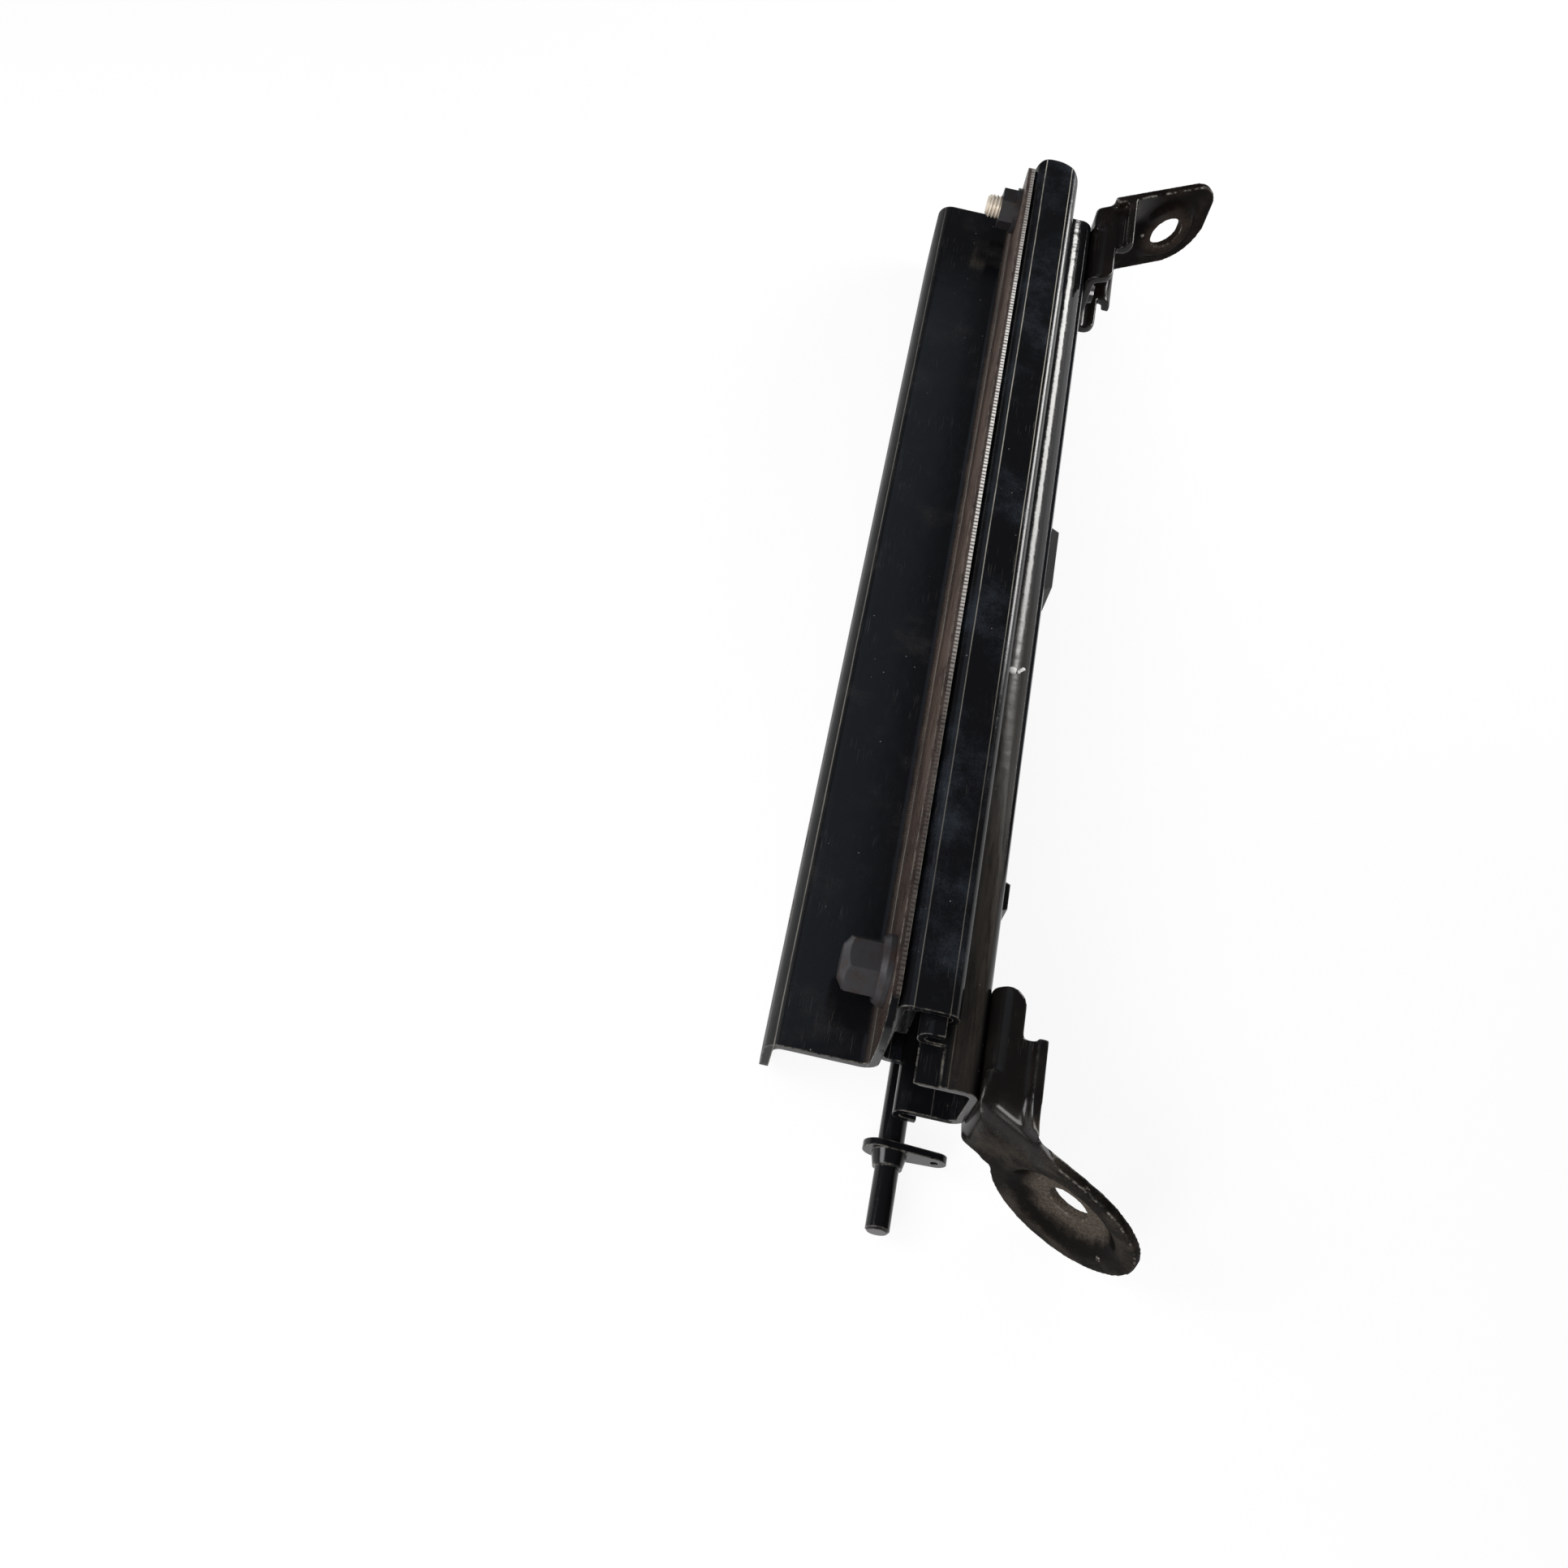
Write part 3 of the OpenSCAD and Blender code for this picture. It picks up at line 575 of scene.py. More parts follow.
@dataclass(frozen=True)
class BracketPaint(BlackPaint):
    """The bracket's paint, with dust on the bolted flange and bare metal with a painted highlight on
    its sheared edge.
    """

    brown: Colour = (0.122, 0.081, 0.063)
    silt_rough: float = 0.85
    top_dust: float = 0.6
    flange_top: Span = (FLANGE_REACH - 0.8, FLANGE_REACH - 0.2)
    flange_bend: Span = (-5.6, -3.0)
    bare_and_highlight: Colour = (0.66, 0.64, 0.61)
    bare_rough: float = 0.36
    sheared: Span = (-1.4, -1.0)
    bead_turn: float = 4.6
    bead_jitter: float = 9.0
    left_bend: Span = (-25.5, -27.5)
    left_rough: float = 0.55

    def settle(self, sheet: Sheet, colour: object, rough: object) -> tuple[object, object]:
        """Lays brown dust on the flange's inner face and bares its sheared edge, with a painted
        highlight that is strongest in the rear half.
        """
        place, (x, y, z), (facing, _, _) = self.axes_of(sheet)
        top = sheet.span(z, *self.flange_top)
        inner = sheet.most(sheet.span(facing, -0.10, -0.70), sheet.times(top, self.top_dust))
        on_flange = sheet.span(x, *self.flange_bend)
        streak = sheet.streaks(place, (0.12, 0.09, 0.12), detail=6.0, rough=0.7)
        cloudy = sheet.span(streak, 0.34, 0.60, (0.45, 0.9))
        outboard = sheet.span(z, 1.0, 12.0, (0.45, 1.0))
        reach = sheet.span(y, 0.0, 150.0, (0.42, 0.95))
        grains = sheet.span(sheet.grain(place, 1.8, rough=0.8), 0.34, 0.62, (0.4, 1.0))
        silt = sheet.times(inner, on_flange, cloudy, outboard, reach, grains)
        edge = sheet.times(top, sheet.span(x, *self.sheared))
        jitter = sheet.times(sheet.streaks(place, (0.1, 0.3, 0.1), detail=3.0), self.bead_jitter)
        wave = sheet.math("SINE", sheet.math("ADD", sheet.times(y, self.bead_turn), jitter))
        beads = sheet.span(wave, -0.9, 0.5, (0.15, 1.0))
        # Painted highlight: the bare edge is strongest in the rear half and fades towards the front
        # and the far end.
        front = sheet.span(y, 80.0, 190.0, (0.05, 1.0))
        rear = sheet.span(y, 320.0, 250.0, (0.30, 1.0))
        bare_shear_and_highlight = sheet.times(edge, beads, front, rear)
        colour = sheet.blend(bare_shear_and_highlight, sheet.blend(silt, colour, self.brown), self.bare_and_highlight)
        matt = sheet.level(sheet.span(x, *self.left_bend), rough, self.left_rough)
        rough = sheet.level(silt, matt, self.silt_rough)
        return colour, sheet.level(bare_shear_and_highlight, rough, self.bare_rough)


@dataclass(frozen=True)
class ChannelPaint(BlackPaint):
    """The lower rail's paint, with brown dust on the ledge beside the slider."""

    brown: Colour = (0.060, 0.048, 0.036)
    silt_rough: float = 0.7
    ledge_top: Span = (LEDGE - 1.6, LEDGE - 0.4)
    roll_from: float = 15.6
    roll: float = 0.085
    uneven: float = 0.16

    def settle(self, sheet: Sheet, colour: object, rough: object) -> tuple[object, object]:
        """Lays brown dust on the front half of the ledge."""
        place, (x, y, z), (_, _, upward) = self.axes_of(sheet)
        high = sheet.span(z, *self.ledge_top)
        level = sheet.span(upward, *FACES_UP)
        beside = sheet.span(x, 14.5, 16.5)
        front = sheet.span(y, 190.0, 70.0)
        end = sheet.span(y, -20.0, 40.0, (0.15, 0.55))
        streak = sheet.streaks(place, (0.6, 0.05, 0.6), detail=5.0, rough=0.7)
        uneven = sheet.span(streak, 0.30, 0.66, (0.35, 1.0))
        silt = sheet.times(high, level, beside, front, end, uneven)
        return sheet.blend(silt, colour, self.brown), sheet.level(silt, rough, self.silt_rough)

    def crown(self, sheet: Sheet) -> object:
        """Rolls the ledge over towards its outer side, as the rail's bend does."""
        place, (x, y, _), (_, _, upward) = self.axes_of(sheet)
        out = sheet.most(sheet.math("SUBTRACT", x, self.roll_from), 0.0)
        fall = sheet.times(out, out, -self.roll)
        waves = sheet.times(sheet.streaks(place, (0.12, 0.2, 0.12), detail=2.0), self.uneven)
        rolled = sheet.times(sheet.span(upward, *FACES_UP), sheet.span(y, 40.0, 125.0))
        return sheet.times(sheet.math("ADD", fall, waves), rolled)


@dataclass(frozen=True)
class FootPaint(Finish):
    """Satin black paint of the drawn feet, dusty on the pad and rubbed on its rims."""

    name: str = "front_foot_black"
    pad: Point = (53.9, -22.1, -3.0)
    knee: float = FRONT_KNEE
    towards: int = -1
    pad_reach: float = 12.0
    paint: Colour = (0.0048, 0.0043, 0.0040)
    film_tone: Colour = (0.092, 0.075, 0.061)
    film: float = 0.30
    pad_dust: float = 0.85
    rub: float = 0.55
    saddle_clean: float = 0.8
    pale_edge_tone: Colour = (0.42, 0.40, 0.36)
    scratches: float = 0.16
    scratch_tone: Colour = (0.20, 0.18, 0.16)
    rough: Span = (0.17, 0.75)
    specular: float = 0.0
    coat: Span = (0.06, 0.55)
    coat_rough: float = 0.19

    def fill(self, sheet: Sheet, shader: Node) -> None:
        """Fills the foot paint's nodes."""
        place = sheet.group("rail_position")
        _, y, z = sheet.parts(place)
        past_knee = sheet.times(sheet.math("SUBTRACT", y, self.knee), float(self.towards))
        saddle = sheet.span(past_knee, 4.0, -1.0)
        film = self.dirt(sheet, place, saddle)
        colour = sheet.blend(film, self.paint, self.film_tone)
        pointed = sheet.add("ShaderNodeNewGeometry").outputs["Pointiness"]
        sharp = sheet.span(pointed, 0.515, 0.565)
        broken = sheet.span(sheet.grain(place, 0.5, rough=0.7), 0.42, 0.62)
        rub = sheet.span(past_knee, -1.0, 6.0, (0.15, self.rub))
        colour = sheet.blend(sheet.times(sharp, broken, rub), colour, self.pale_edge_tone)
        scratch = sheet.group("hair_scratches", Amount=self.scratches)
        colour = sheet.blend(scratch, colour, self.scratch_tone)
        sheet.feed(colour, shader.inputs["Base Color"])
        sheet.feed(sheet.level(film, *self.rough), shader.inputs["Roughness"])
        shader.inputs["Specular IOR Level"].default_value = self.specular
        shader.inputs["Coat Roughness"].default_value = self.coat_rough
        shoulder = sheet.times(sheet.span(z, 10.0, 15.0), sheet.span(past_knee, 13.0, 6.0))
        glossy = sheet.level(sheet.most(saddle, shoulder), *self.coat)
        sheet.feed(glossy, shader.inputs["Coat Weight"])
        skin = sheet.group("paint_skin", Ripple=0.25, Grit=0.25)
        self.bump(sheet, shader, skin, FOOT_RELIEF)

    def dirt(self, sheet: Sheet, place: Socket, saddle: Socket) -> Socket:
        """Lays dust in the pad and a thin film around it.

        Args:
            sheet: The material's sheet.
            place: The socket of the place on the rail.
            saddle: The socket of the saddle's mask, which stays cleaner.

        Returns:
            The dirt mask's socket.
        """
        away = sheet.add("ShaderNodeVectorMath", operation="DISTANCE")
        sheet.feed(place, away.inputs[0])
        away.inputs[1].default_value = self.pad
        ragged = sheet.span(sheet.grain(place, 0.22), 0.3, 0.7, (-0.8, 0.8))
        distance = sheet.math("ADD", away.outputs["Value"], ragged)
        pad = sheet.span(distance, self.pad_reach + 2.0, self.pad_reach - 2.4)
        wall = sheet.span(distance, self.pad_reach + 5.6, self.pad_reach + 3.6)
        bits = sheet.grain(place, 1.4, detail=6.0, rough=0.9)
        grit = sheet.span(bits, 0.36, 0.64, (0.15, self.pad_dust))
        clean = sheet.most(wall, sheet.times(saddle, self.saddle_clean))
        cloud = sheet.group("cloudy_film", Scale=0.085, Cover=0.52)
        cloud = sheet.times(cloud, self.film, sheet.math("SUBTRACT", 1.0, clean))
        return sheet.most(cloud, sheet.times(pad, grit))


@dataclass(frozen=True)
class PlatedMetal(Finish):
    """Plated or bare steel with a stained, slightly grainy surface."""

    name: str
    metal: Colour
    stain: Colour
    rough: Span
    cover: float
    metallic: float = 0.9
    specular: float = 0.5

    def fill(self, sheet: Sheet, shader: Node) -> None:
        """Fills the plated metal's nodes."""
        film = sheet.group("cloudy_film", Scale=0.2, Cover=self.cover)
        sheet.feed(sheet.blend(film, self.metal, self.stain), shader.inputs["Base Color"])
        sheet.feed(sheet.level(film, *self.rough), shader.inputs["Roughness"])
        shader.inputs["Metallic"].default_value = self.metallic
        shader.inputs["Specular IOR Level"].default_value = self.specular
        skin = sheet.group("paint_skin", Ripple=0.15, Grit=0.2)
        self.bump(sheet, shader, skin, METAL_RELIEF)


@dataclass(frozen=True)
class Moulded(Finish):
    """Moulded plastic of the clips and the ball cages."""

    name: str = "clip_moulded"
    plastic: Colour = (0.02, 0.02, 0.021)
    film_tone: Colour = (0.10, 0.085, 0.07)
    film_share: float = 0.5
    rough: Span = (0.42, 0.65)

    def fill(self, sheet: Sheet, shader: Node) -> None:
        """Fills the plastic's nodes."""
        film = sheet.group("cloudy_film", Scale=0.12, Cover=0.42)
        colour = sheet.blend(sheet.times(film, self.film_share), self.plastic, self.film_tone)
        sheet.feed(colour, shader.inputs["Base Color"])
        sheet.feed(sheet.level(film, *self.rough), shader.inputs["Roughness"])
        skin = sheet.group("paint_skin", Ripple=0.1, Grit=0.3)
        self.bump(sheet, shader, skin, PLASTIC_RELIEF)


BRACKET_BLACK = BracketPaint(
    "bracket_black", cover=0.41, rub_highlight_lines=((-27.2, 0.22, 0.30, 0.22), (-2.6, 0.2, 0.2, 0.25)))
# Upper rail: its bluish film tone is a painted bluish sheen over its dust, and its shoulder lines,
# faint in front and strong behind, are painted highlights over rubbed paint.
UPPER_BLACK = BlackPaint(
    "upper_rail_black", film_tone=(0.032, 0.040, 0.053), cover=0.48,
    rub_highlight_lines=((3.7, 0.22, 0.18, 0.85), (12.9, 0.20, 0.20, 0.95)))
LOWER_BLACK = ChannelPaint("lower_rail_black", cover=0.38, rub_highlight_lines=((15.9, 0.18, 0.12, 0.25),))
ROD_BLACK = BlackPaint("rod_black", cover=0.24, gloss=(0.14, 0.30), ripple=0.1)
FRONT_FOOT_BLACK = FootPaint()
REAR_FOOT_BLACK = FootPaint(
    "rear_foot_black", pad=(52.2, 339.2, 6.0), knee=REAR_KNEE, towards=1, pad_reach=9.5,
    paint=(0.0042, 0.0032, 0.0029), film_tone=(0.060, 0.042, 0.034), film=0.25, pad_dust=0.5, rub=0.95)
DARK_ZINC = PlatedMetal(
    "bolt_zinc", metal=(0.024, 0.0235, 0.026), stain=(0.022, 0.014, 0.011), rough=(0.36, 0.55),
    cover=0.52, metallic=0.0, specular=0.14)
BALL_STEEL = PlatedMetal(
    "ball_steel", metal=(0.55, 0.55, 0.54), stain=(0.30, 0.27, 0.23), rough=(0.10, 0.22), cover=0.3)
SPRING_STEEL = PlatedMetal(
    "spring_steel", metal=(0.20, 0.195, 0.19), stain=(0.12, 0.09, 0.07), rough=(0.22, 0.4),
    cover=0.42)
TAN_THREAD = PlatedMetal(
    "tan_thread", metal=(0.66, 0.58, 0.48), stain=(0.42, 0.33, 0.24), rough=(0.34, 0.55),
    cover=0.40, metallic=0.35)
WHITE_FLECK = PlatedMetal(
    "white_fleck", metal=(0.95, 0.94, 0.92), stain=(0.85, 0.83, 0.80), rough=(0.5, 0.7),
    cover=0.3, metallic=0.0)
CLIP_PLASTIC = Moulded()
NYLON = Moulded("cage_nylon", plastic=(0.42, 0.41, 0.37), film_tone=(0.24, 0.21, 0.17))


class Workshop:
    """Makes meshes and puts pieces into the scene."""

    @staticmethod
    def piece(name: str, mesh: bpy.types.Mesh, finish: Finish, body: Body,
              slot: Slot) -> bpy.types.Object:
        """Puts a mesh into the scene as a piece of the object.

        Args:
            name: The piece's name.
            mesh: Its mesh, in the part's frame.
            finish: Its finish.
            body: The body that it rides on.
            slot: The record's material slot; it is not used.

        Returns:
            The new object.
        """
        obj = bpy.data.objects.new(name, mesh)
        bpy.context.scene.collection.objects.link(obj)
        mesh.materials.clear()
        mesh.materials.append(finish.build())
        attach(obj, body.value)
        log.info("piece %s rides on %s", name, body.value)
        return obj

    @staticmethod
    def lathe(profile: Sequence[tuple[float, float]], steps: int) -> bmesh.types.BMesh:
        """Turns a profile about Z.

        Args:
            profile: The points of radius and height, in millimetres. A radius of 0 is on the axis.
            steps: How many steps make a full turn.

        Returns:
            The turned mesh, in metres.
        """
        bm = bmesh.new()
        rings = []
        for radius, height in profile:
            ring = []
            for step in range(steps if radius > 0 else 1):
                turn = 2 * math.pi * step / steps
                x, y = radius * MM * math.cos(turn), radius * MM * math.sin(turn)
                ring.append(bm.verts.new((x, y, height * MM)))
            rings.append(ring)
        for low, high in zip(rings, rings[1:]):
            for step in range(steps):
                after = (step + 1) % steps
                corners = [low[step % len(low)], low[after % len(low)],
                           high[after % len(high)], high[step % len(high)]]
                bm.faces.new(list(dict.fromkeys(corners)))
        return bm


@dataclass
class DressedNodes:
    """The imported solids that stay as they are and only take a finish."""

    finishes: tuple[tuple[Finish, tuple[str, ...]], ...] = (
        (BRACKET_BLACK, ("seat_bracket", "seat_weld_nuts", "nut_plate")),
        (UPPER_BLACK, ("upper_rail",)),
        (LOWER_BLACK, ("lower_rail", "foot_rivets")),
        (DARK_ZINC, ("front_bolt", "rear_nut")),
        (ROD_BLACK, ("release_rod", "rod_link_tab", "latch_pawl")),
        (SPRING_STEEL, ("latch_spring",)),
        (CLIP_PLASTIC, ("front_rod_clip", "rear_rod_clip")),
        (NYLON, ("outer_ball_cage", "inner_ball_cage")),
        (BALL_STEEL, ("outer_balls", "inner_balls")),
    )

    def dress(self) -> None:
        """Gives every listed node its finish."""
        for finish, nodes in self.finishes:
            for node in nodes:
                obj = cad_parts[node]
                obj.data.materials.clear()
                obj.data.materials.append(finish.build())
                log.info("node %s takes %s", node, finish.name)


@dataclass
class DrawnFoot:
    """A floor foot as one drawn sheet, with soft fillets where its walls meet.

    Lengths are in millimetres and the slope is in degrees. The corners' fillets are rows of
    balls that the remesh joins to the sheet.
    """

    node: str
    finish: Finish
    axes: RailAxes
    knee: float
    slope: float
    towards: int
    sheet_line: float = 25.7
    sheet_t: float = 3.0
    sink: float = 0.5
    wing_line: float = 11.5
    wing_face: float = 19.0
    middle: float = 6.0
    lead: float = 8.1
    balls: int = 30
    ball_gap: float = 0.75
    fillet: float = 1.9
    saddle_fillet: float = 1.5
    saddle_drop: float = 2.2
    voxel: float = 0.5
    relax: int = 12
    softness: float = 0.5
    shoulder: float = 0.0
    edge: float = 1.0
    swell: Span = (-8.0, 11.0)
    fade: Span = (24.0, 12.0)
    shoulder_relax: int = 8

    def corner_path(self, side: int) -> list[tuple[Vector, float]]:
        """Gives the points and radii along one drawn corner, from the saddle over the knee.

        Args:
            side: -1 for the inboard wing and 1 for the outboard one.

        Returns:
            The points in the part's frame, with radii in millimetres.
        """
        across = self.middle + side * self.wing_line
        depth = self.sheet_line + self.sink
        start = self.knee - self.towards * self.lead
        turn = math.radians(self.slope)
        points = []
        for ball in range(self.balls):
            run = ball * self.ball_gap - self.lead
            if run < 0:
                x, y = depth, start + self.towards * ball * self.ball_gap
                points.append((self.axes.at(x + self.saddle_drop, y, across), self.saddle_fillet))
            else:
                x = depth + run * math.sin(turn)
                y = self.knee + self.towards * run * math.cos(turn)
            points.append((self.axes.at(x, y, across), self.fillet))
        return points

    def shoulder_radius(self, run: float) -> float:
        """Gives the shoulder's radius at a distance past the knee, both in millimetres."""
        swell = min(max((run - self.swell[0]) / self.swell[1], 0.0), 1.0)
        fade = min(max((self.fade[0] - run) / self.fade[1], 0.0), 1.0)
        grow = swell * fade
        return self.edge + (self.shoulder - self.edge) * grow * grow * (3.0 - 2.0 * grow)

    def round_shoulder(self, mesh: bpy.types.Mesh) -> None:
        """Rounds the skin's bend where the outboard wing turns over into the tongue."""
        turn = math.radians(self.slope)
        along = Vector((math.sin(turn), self.towards * math.cos(turn), 0.0))
        facing = Vector((-math.cos(turn), self.towards * math.sin(turn), 0.0))
        corner = Vector((self.sheet_line, self.knee, self.wing_face)) + facing * self.sheet_t / 2
        bm = bmesh.new()
        bm.from_mesh(mesh)
        bent = []
        for vert in bm.verts:
            place = (vert.co - self.axes.origin) / MM - corner
            behind, below = -place.dot(facing), -place.z
            radius = self.shoulder_radius(place.dot(along))
            across, down = radius - max(behind, 0.0), radius - max(below, 0.0)
            reach = math.hypot(across, down)
            if across > 0 and down > 0 and reach > radius:
                share = radius / reach - 1.0
                vert.co += (facing * across * share + Vector((0, 0, down * share))) * MM
                bent.append(vert)
        for _ in range(self.shoulder_relax):
            bmesh.ops.smooth_vert(bm, verts=bent, factor=self.softness,
                                  use_axis_x=True, use_axis_y=True, use_axis_z=True)
        bm.to_mesh(mesh)
        bm.free()

    def drawn_skin(self) -> bpy.types.Mesh:
        """Joins the solid and its fillets into one soft skin and returns its mesh."""
        bm = bmesh.new()
        bm.from_mesh(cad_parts[self.node].data)
        for side in (-1, 1):
            for point, radius in self.corner_path(side):
                bmesh.ops.create_icosphere(
                    bm, subdivisions=2, radius=radius * MM, matrix=Matrix.Translation(point))
        source = bpy.data.meshes.new(f"{self.node}_raw")
        bm.to_mesh(source)
        bm.free()
        raw = bpy.data.objects.new(f"{self.node}_raw", source)
        bpy.context.scene.collection.objects.link(raw)
        remesh = raw.modifiers.new("sheet", "REMESH")
        remesh.mode = "VOXEL"
        remesh.voxel_size = self.voxel * MM
        smooth = raw.modifiers.new("draw", "SMOOTH")
        smooth.factor = self.softness
        smooth.iterations = self.relax
        bpy.context.view_layer.update()
        graph = bpy.context.evaluated_depsgraph_get()
        mesh = bpy.data.meshes.new_from_object(raw.evaluated_get(graph))
        bpy.data.objects.remove(raw)
        return mesh

    def build(self) -> bpy.types.Object:
        """Makes the foot's drawn skin from its solid and returns it."""
        mesh = self.drawn_skin()
        if self.shoulder > 0:
            self.round_shoulder(mesh)
        mesh.shade_smooth()
        name = f"{self.node}_drawn"
        obj = Workshop.piece(name, mesh, self.finish, Body.LOWER, Slot.FOOT_PAINT)
        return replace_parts(obj, self.node)


@dataclass
class ThreadedStud:
    """The rear stud with a rolled thread, in millimetres."""

    diameter: float = 8.0
    pitch: float = 1.25
    depth: float = 0.62
    flank: float = 1.2
    head: float = 2.5
    head_bevel: float = 0.3
    head_step: float = 0.1
    tip: float = 1.2
    tip_slope: float = 0.9
    rows_per_pitch: int = 10
    steps: int = 48

    def build(self) -> bpy.types.Object:
        """Makes the stud along its solid's own box and returns it."""
        low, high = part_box("rear_stud")
        head_r = (high.y - low.y) / 2 / MM
        length = (high.x - low.x) / MM
        radius = self.diameter / 2
        shank = length - self.head
        rows = int(shank / self.pitch * self.rows_per_pitch)
        profile = [(0.0, 0.0), (head_r - self.head_bevel, 0.0), (head_r, self.head_bevel),
                   (head_r, self.head - self.head_step), (radius, self.head)]
        first = 1 + (len(profile) - 1) * self.steps
        profile += [(radius, self.head + shank * (row + 1) / rows) for row in range(rows)]
        profile.append((0.0, length))
        bm = Workshop.lathe(profile, self.steps)
        bm.verts.ensure_lookup_table()
        for index in range(first, first + rows * self.steps):
            vert = bm.verts[index]
            turn = math.atan2(vert.co.y, vert.co.x) / (2 * math.pi)
            phase = (vert.co.z / MM / self.pitch + turn) % 1.0
            cut = self.depth * abs(2 * phase - 1) ** self.flank
            tip = max(0.0, vert.co.z / MM - (length - self.tip)) * self.tip_slope
            reach = (radius - max(cut, tip)) * MM
            flat = math.hypot(vert.co.x, vert.co.y)
            vert.co.x *= reach / flat
            vert.co.y *= reach / flat
        turn = Matrix.Rotation(math.radians(-90), 4, "Y")
        middle = (high.x, (low.y + high.y) / 2, (low.z + high.z) / 2)
        bmesh.ops.transform(bm, matrix=Matrix.Translation(middle) @ turn, verts=bm.verts)
        bmesh.ops.recalc_face_normals(bm, faces=bm.faces)
        mesh = bpy.data.meshes.new("rear_stud_thread")
        bm.to_mesh(mesh)
        bm.free()
        mesh.shade_smooth()
        obj = Workshop.piece("rear_stud_thread", mesh, TAN_THREAD, Body.SLIDER, Slot.BARE_STEEL)
        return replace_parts(obj, "rear_stud")


@dataclass(frozen=True)
class Fleck:
    """One low blob of splashed paint on the lower rail, on the rail's axes in millimetres."""

    place: Point
    lean: float
    radius: float
    height: float = 0.16
    sunk: float = 0.05
    crown_share: float = 0.75
    rim_share: float = 0.4
    ragged: float = 0.45
    rag_scale: float = 900.0
    rag_shift: float = 300.0
    steps: int = 18

    def shape(self, axes: RailAxes) -> bmesh.types.BMesh:
        """Makes the blob, ragged at its rim.

        Args:
            axes: The rail's axes in the part's frame.

        Returns:
            The blob's mesh in the part's frame.
        """
        rim, crown = self.radius, self.radius * self.crown_share
        profile = [(0.0, -self.sunk), (rim, -self.sunk), (rim, self.height * self.rim_share),
                   (crown, self.height), (0.0, self.height)]
        bm = Workshop.lathe(profile, self.steps)
        middle = axes.at(*self.place)
        for vert in bm.verts:
            flat = Vector((vert.co.x, vert.co.y, 0.0))
            draw = noise.noise(flat * self.rag_scale + middle * self.rag_shift)
            vert.co.x *= 1.0 + self.ragged * draw
            vert.co.y *= 1.0 + self.ragged * draw
        lean = Matrix.Rotation(math.radians(self.lean), 4, "Y")
        bmesh.ops.transform(bm, matrix=Matrix.Translation(middle) @ lean, verts=bm.verts)
        bmesh.ops.recalc_face_normals(bm, faces=bm.faces)
        return bm


@dataclass
class PaintSplash:
    """The splashed white paint on the lower rail's ledge."""

    axes: RailAxes
    flecks: tuple[Fleck, ...] = (
        Fleck((17.5, 120.2, LEDGE), 0.0, 1.15),
        Fleck((19.4, 120.0, LEDGE), 0.0, 0.55),
        Fleck((20.0, 120.7, LEDGE), 0.0, 0.55),
        Fleck((20.6, 121.3, LEDGE), 2.0, 0.55),
    )

    def build(self) -> bpy.types.Object:
        """Joins the blobs into one piece and returns it."""
        whole = bmesh.new()
        for fleck in self.flecks:
            part = fleck.shape(self.axes)
            mesh = bpy.data.meshes.new("fleck")
            part.to_mesh(mesh)
            part.free()
            whole.from_mesh(mesh)
            bpy.data.meshes.remove(mesh)
        mesh = bpy.data.meshes.new("paint_splash")
        whole.to_mesh(mesh)
        whole.free()
        mesh.shade_smooth()
        return Workshop.piece("paint_splash", mesh, WHITE_FLECK, Body.LOWER, Slot.RAIL_PAINT)


@dataclass(frozen=True)
class Lamp:
    """A soft area lamp, with lengths on the rail's axes in millimetres and power in watts."""

    name: str
    place: Point
    aim: Point
    size: Span
    power: float
    colour: Colour

    def hang(self, axes: RailAxes) -> None:
        """Hangs the lamp on the rail's axes so that it faces its aim."""
        data = bpy.data.lights.new(self.name, "AREA")
        data.shape = "RECTANGLE"
        data.size, data.size_y = self.size[0] * MM, self.size[1] * MM
        data.energy = self.power
        data.color = self.colour
        lamp = bpy.data.objects.new(self.name, data)
        lamp.location = axes.at(*self.place)
        lamp.visible_camera = False
        look = axes.at(*self.aim) - lamp.location
        lamp.rotation_euler = look.to_track_quat("-Z", "Y").to_euler()
        bpy.context.scene.collection.objects.link(lamp)


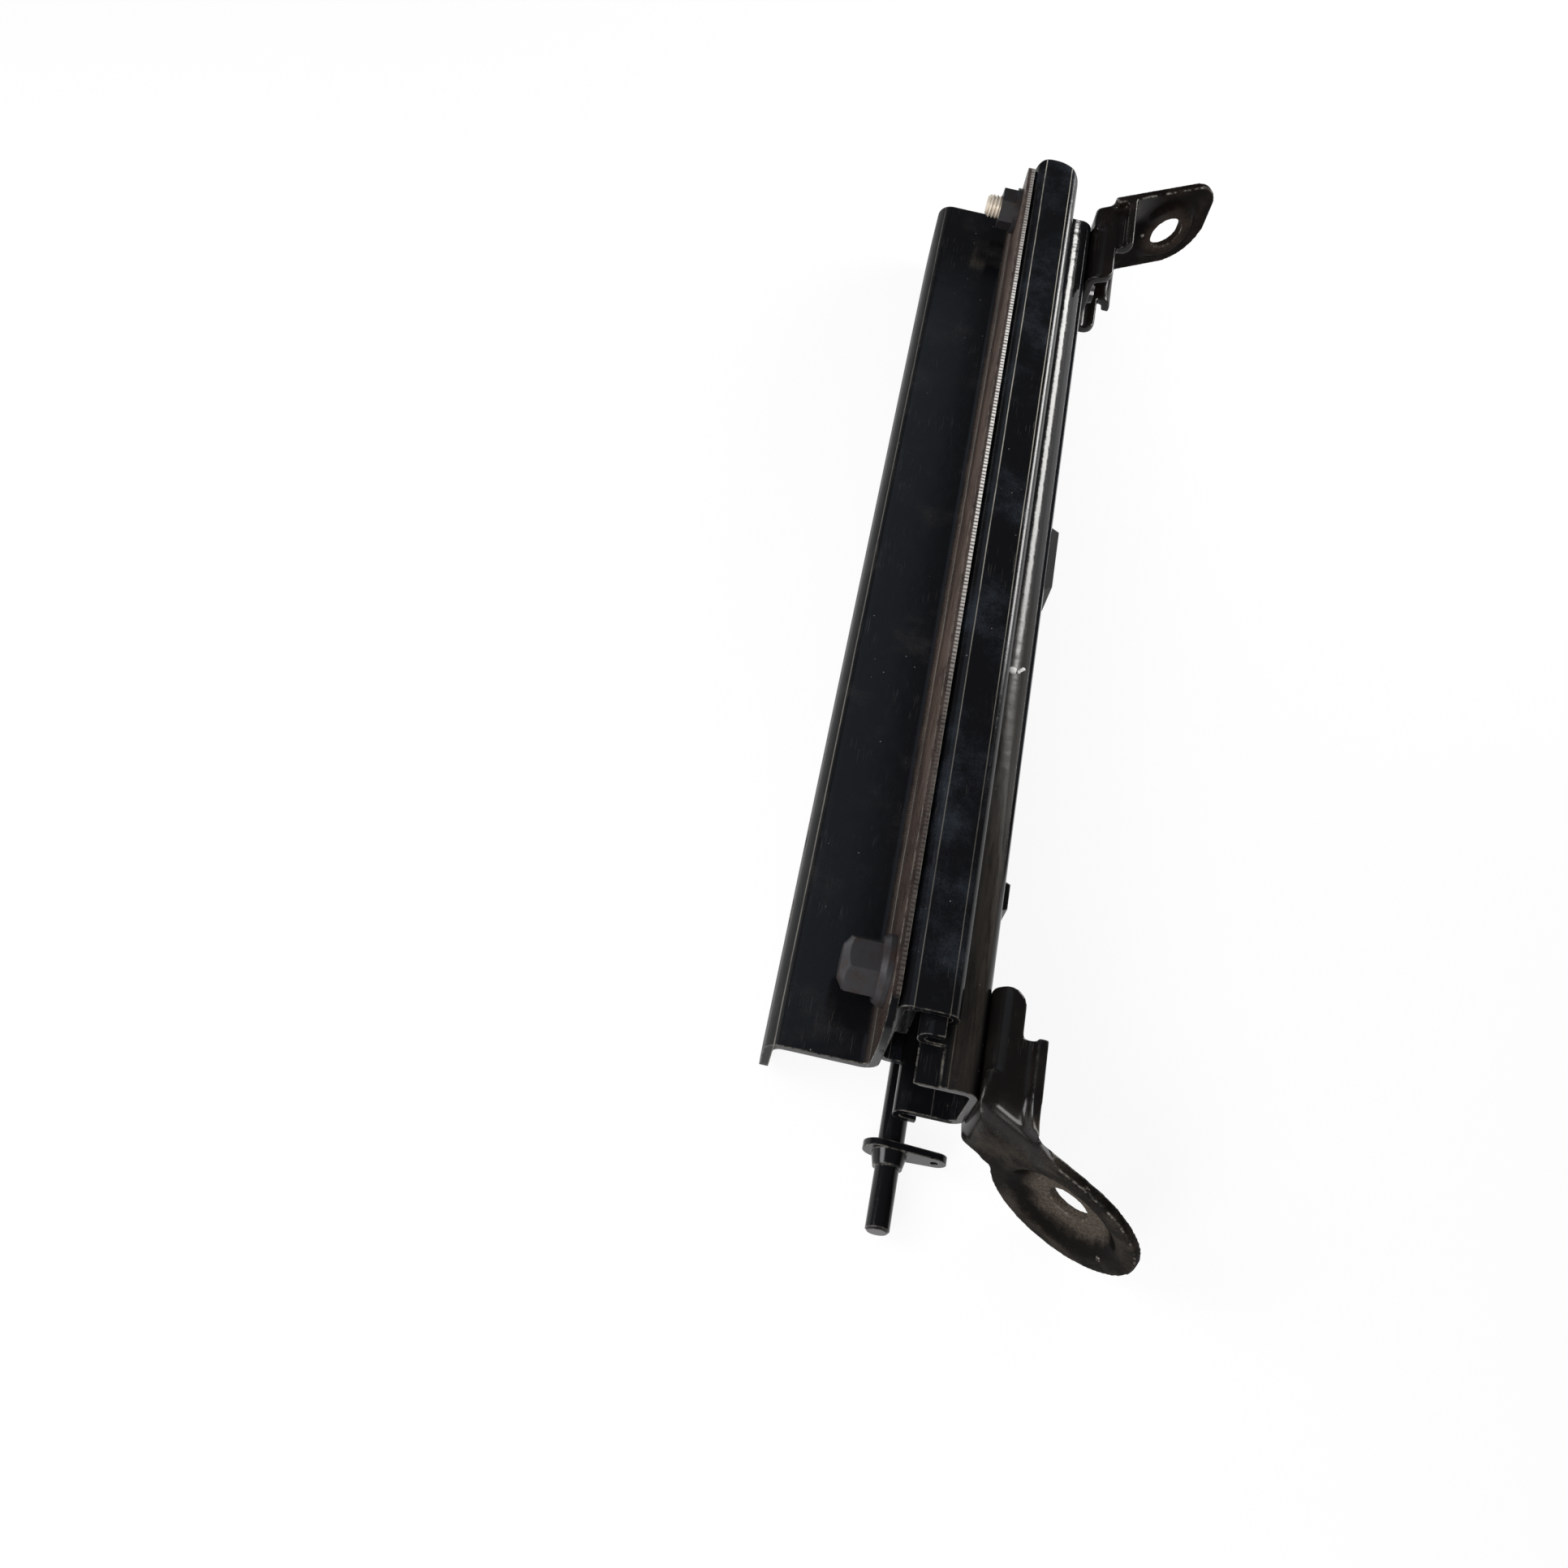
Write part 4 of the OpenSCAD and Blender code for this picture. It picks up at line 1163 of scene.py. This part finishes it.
@dataclass
class Studio:
    """The camera at the photograph's angle, the pale floor and the soft light."""

    axes: RailAxes
    lens_px: float = 1935.0
    frame_px: float = 1932.0
    sensor: float = 36.0
    clip_start: float = 0.01
    mate: float = 24.6
    stand: Point = (-15.93, -152.37, 378.40)
    right: Point = (0.97561, 0.18630, 0.11610)
    up: Point = (-0.21950, 0.83488, 0.50478)
    back: Point = (-0.00289, -0.51795, 0.85541)
    floor_reach: float = 4.0
    floor_gap: float = 0.0002
    floor_tone: Colour = (0.86, 0.86, 0.86)
    floor_rough: float = 0.9
    floor_specular: float = 0.1
    floor_glow: float = 0.9
    ambient: float = 0.35
    skyline: Span = (0.03, 0.25)
    wall: Span = (1.0, 0.07)
    lamps: tuple[Lamp, ...] = (
        Lamp("right_strip", (330, 580, 190), (0, 580, 0), (390, 130), 2.8, (1.0, 0.99, 0.97)),
        Lamp("left_softbox", (-460, -40, 330), (0, 120, 0), (300, 300), 2.6, (0.98, 0.98, 1.0)),
        Lamp("sky_softbox", (-130, 480, 420), (-130, 480, 0), (300, 620), 0.26, (0.68, 0.82, 1.0)),
        Lamp("front_softbox", (-170, -400, 330), (30, -15, 0), (260, 260), 2.2, (1.0, 0.97, 0.93)),
    )

    def build(self) -> None:
        """Sets the stage up."""
        bpy.context.scene.view_settings.view_transform = "Standard"
        self.camera()
        self.floor()
        self.world()
        for lamp in self.lamps:
            lamp.hang(self.axes)

    def camera(self) -> None:
        """Adds the camera."""
        data = bpy.data.cameras.new("view")
        data.sensor_width = self.sensor
        data.lens = self.sensor * self.lens_px / self.frame_px
        data.clip_start = self.clip_start
        camera = bpy.data.objects.new("view", data)
        turn = Matrix((self.right, self.up, self.back)).transposed().to_4x4()
        x, y, z = self.stand
        camera.matrix_world = Matrix.Translation(self.axes.at(x - self.mate, y, z)) @ turn
        bpy.context.scene.collection.objects.link(camera)
        bpy.context.scene.camera = camera

    def floor(self) -> None:
        """Adds the pale floor under the part."""
        bm = bmesh.new()
        bmesh.ops.create_grid(bm, x_segments=4, y_segments=4, size=self.floor_reach)
        mesh = bpy.data.meshes.new("floor")
        bm.to_mesh(mesh)
        bm.free()
        floor = bpy.data.objects.new("floor", mesh)
        floor.location.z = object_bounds()[0].z - self.floor_gap
        bpy.context.scene.collection.objects.link(floor)
        mesh.materials.append(self.floor_material())
        floor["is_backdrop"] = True

    def floor_material(self) -> bpy.types.Material:
        """Returns the floor's material, which looks white but still takes shadows."""
        material = bpy.data.materials.new("pale_floor")
        material.use_nodes = True
        sheet = Sheet(material.node_tree)
        shader = material.node_tree.nodes["Principled BSDF"]
        sheet.feed(self.floor_tone, shader.inputs["Base Color"])
        shader.inputs["Roughness"].default_value = self.floor_rough
        shader.inputs["Specular IOR Level"].default_value = self.floor_specular
        glow = sheet.add("ShaderNodeEmission")
        mixed = sheet.add("ShaderNodeMixShader")
        sheet.feed(sheet.times(self.seen(sheet), self.floor_glow), mixed.inputs[0])
        sheet.feed(shader.outputs[0], mixed.inputs[1])
        sheet.feed(glow.outputs[0], mixed.inputs[2])
        surface = material.node_tree.nodes["Material Output"].inputs["Surface"]
        sheet.feed(mixed.outputs[0], surface)
        return material

    @staticmethod
    def seen(sheet: Sheet) -> object:
        """Returns 1 for the camera's rays and for rays that are mirrored or let through."""
        path = sheet.add("ShaderNodeLightPath").outputs
        return sheet.most(
            path["Is Camera Ray"], path["Is Glossy Ray"], path["Is Transmission Ray"])

    def world(self) -> None:
        """Lights the part softly all round and shows white behind it."""
        world = bpy.data.worlds.new("soft_room")
        bpy.context.scene.world = world
        world.use_nodes = True
        sheet = Sheet(world.node_tree)
        background = world.node_tree.nodes["Background"]
        background.inputs["Color"].default_value = (1.0, 1.0, 1.0, 1.0)
        _, _, height = sheet.parts(sheet.add("ShaderNodeTexCoord").outputs["Generated"])
        wall = sheet.span(height, *self.skyline, self.wall)
        path = sheet.add("ShaderNodeLightPath")
        mirrored = sheet.level(path.outputs["Is Glossy Ray"], 1.0, wall)
        strength = sheet.level(self.seen(sheet), self.ambient, mirrored)
        sheet.feed(strength, background.inputs["Strength"])


def main() -> None:
    """Builds and dresses the part and its stage."""
    logging.basicConfig(level=logging.INFO, format="%(name)s: %(message)s")
    axes = RailAxes.from_bracket()
    Effects(axes)
    Studio(axes).build()
    DressedNodes().dress()
    DrawnFoot("front_foot", FRONT_FOOT_BLACK, axes, FRONT_KNEE, 61.0, -1, shoulder=10.0).build()
    DrawnFoot("rear_foot", REAR_FOOT_BLACK, axes, REAR_KNEE, 58.0, 1).build()
    ThreadedStud().build()
    PaintSplash(axes).build()


if __name__ == "__main__":
    main()
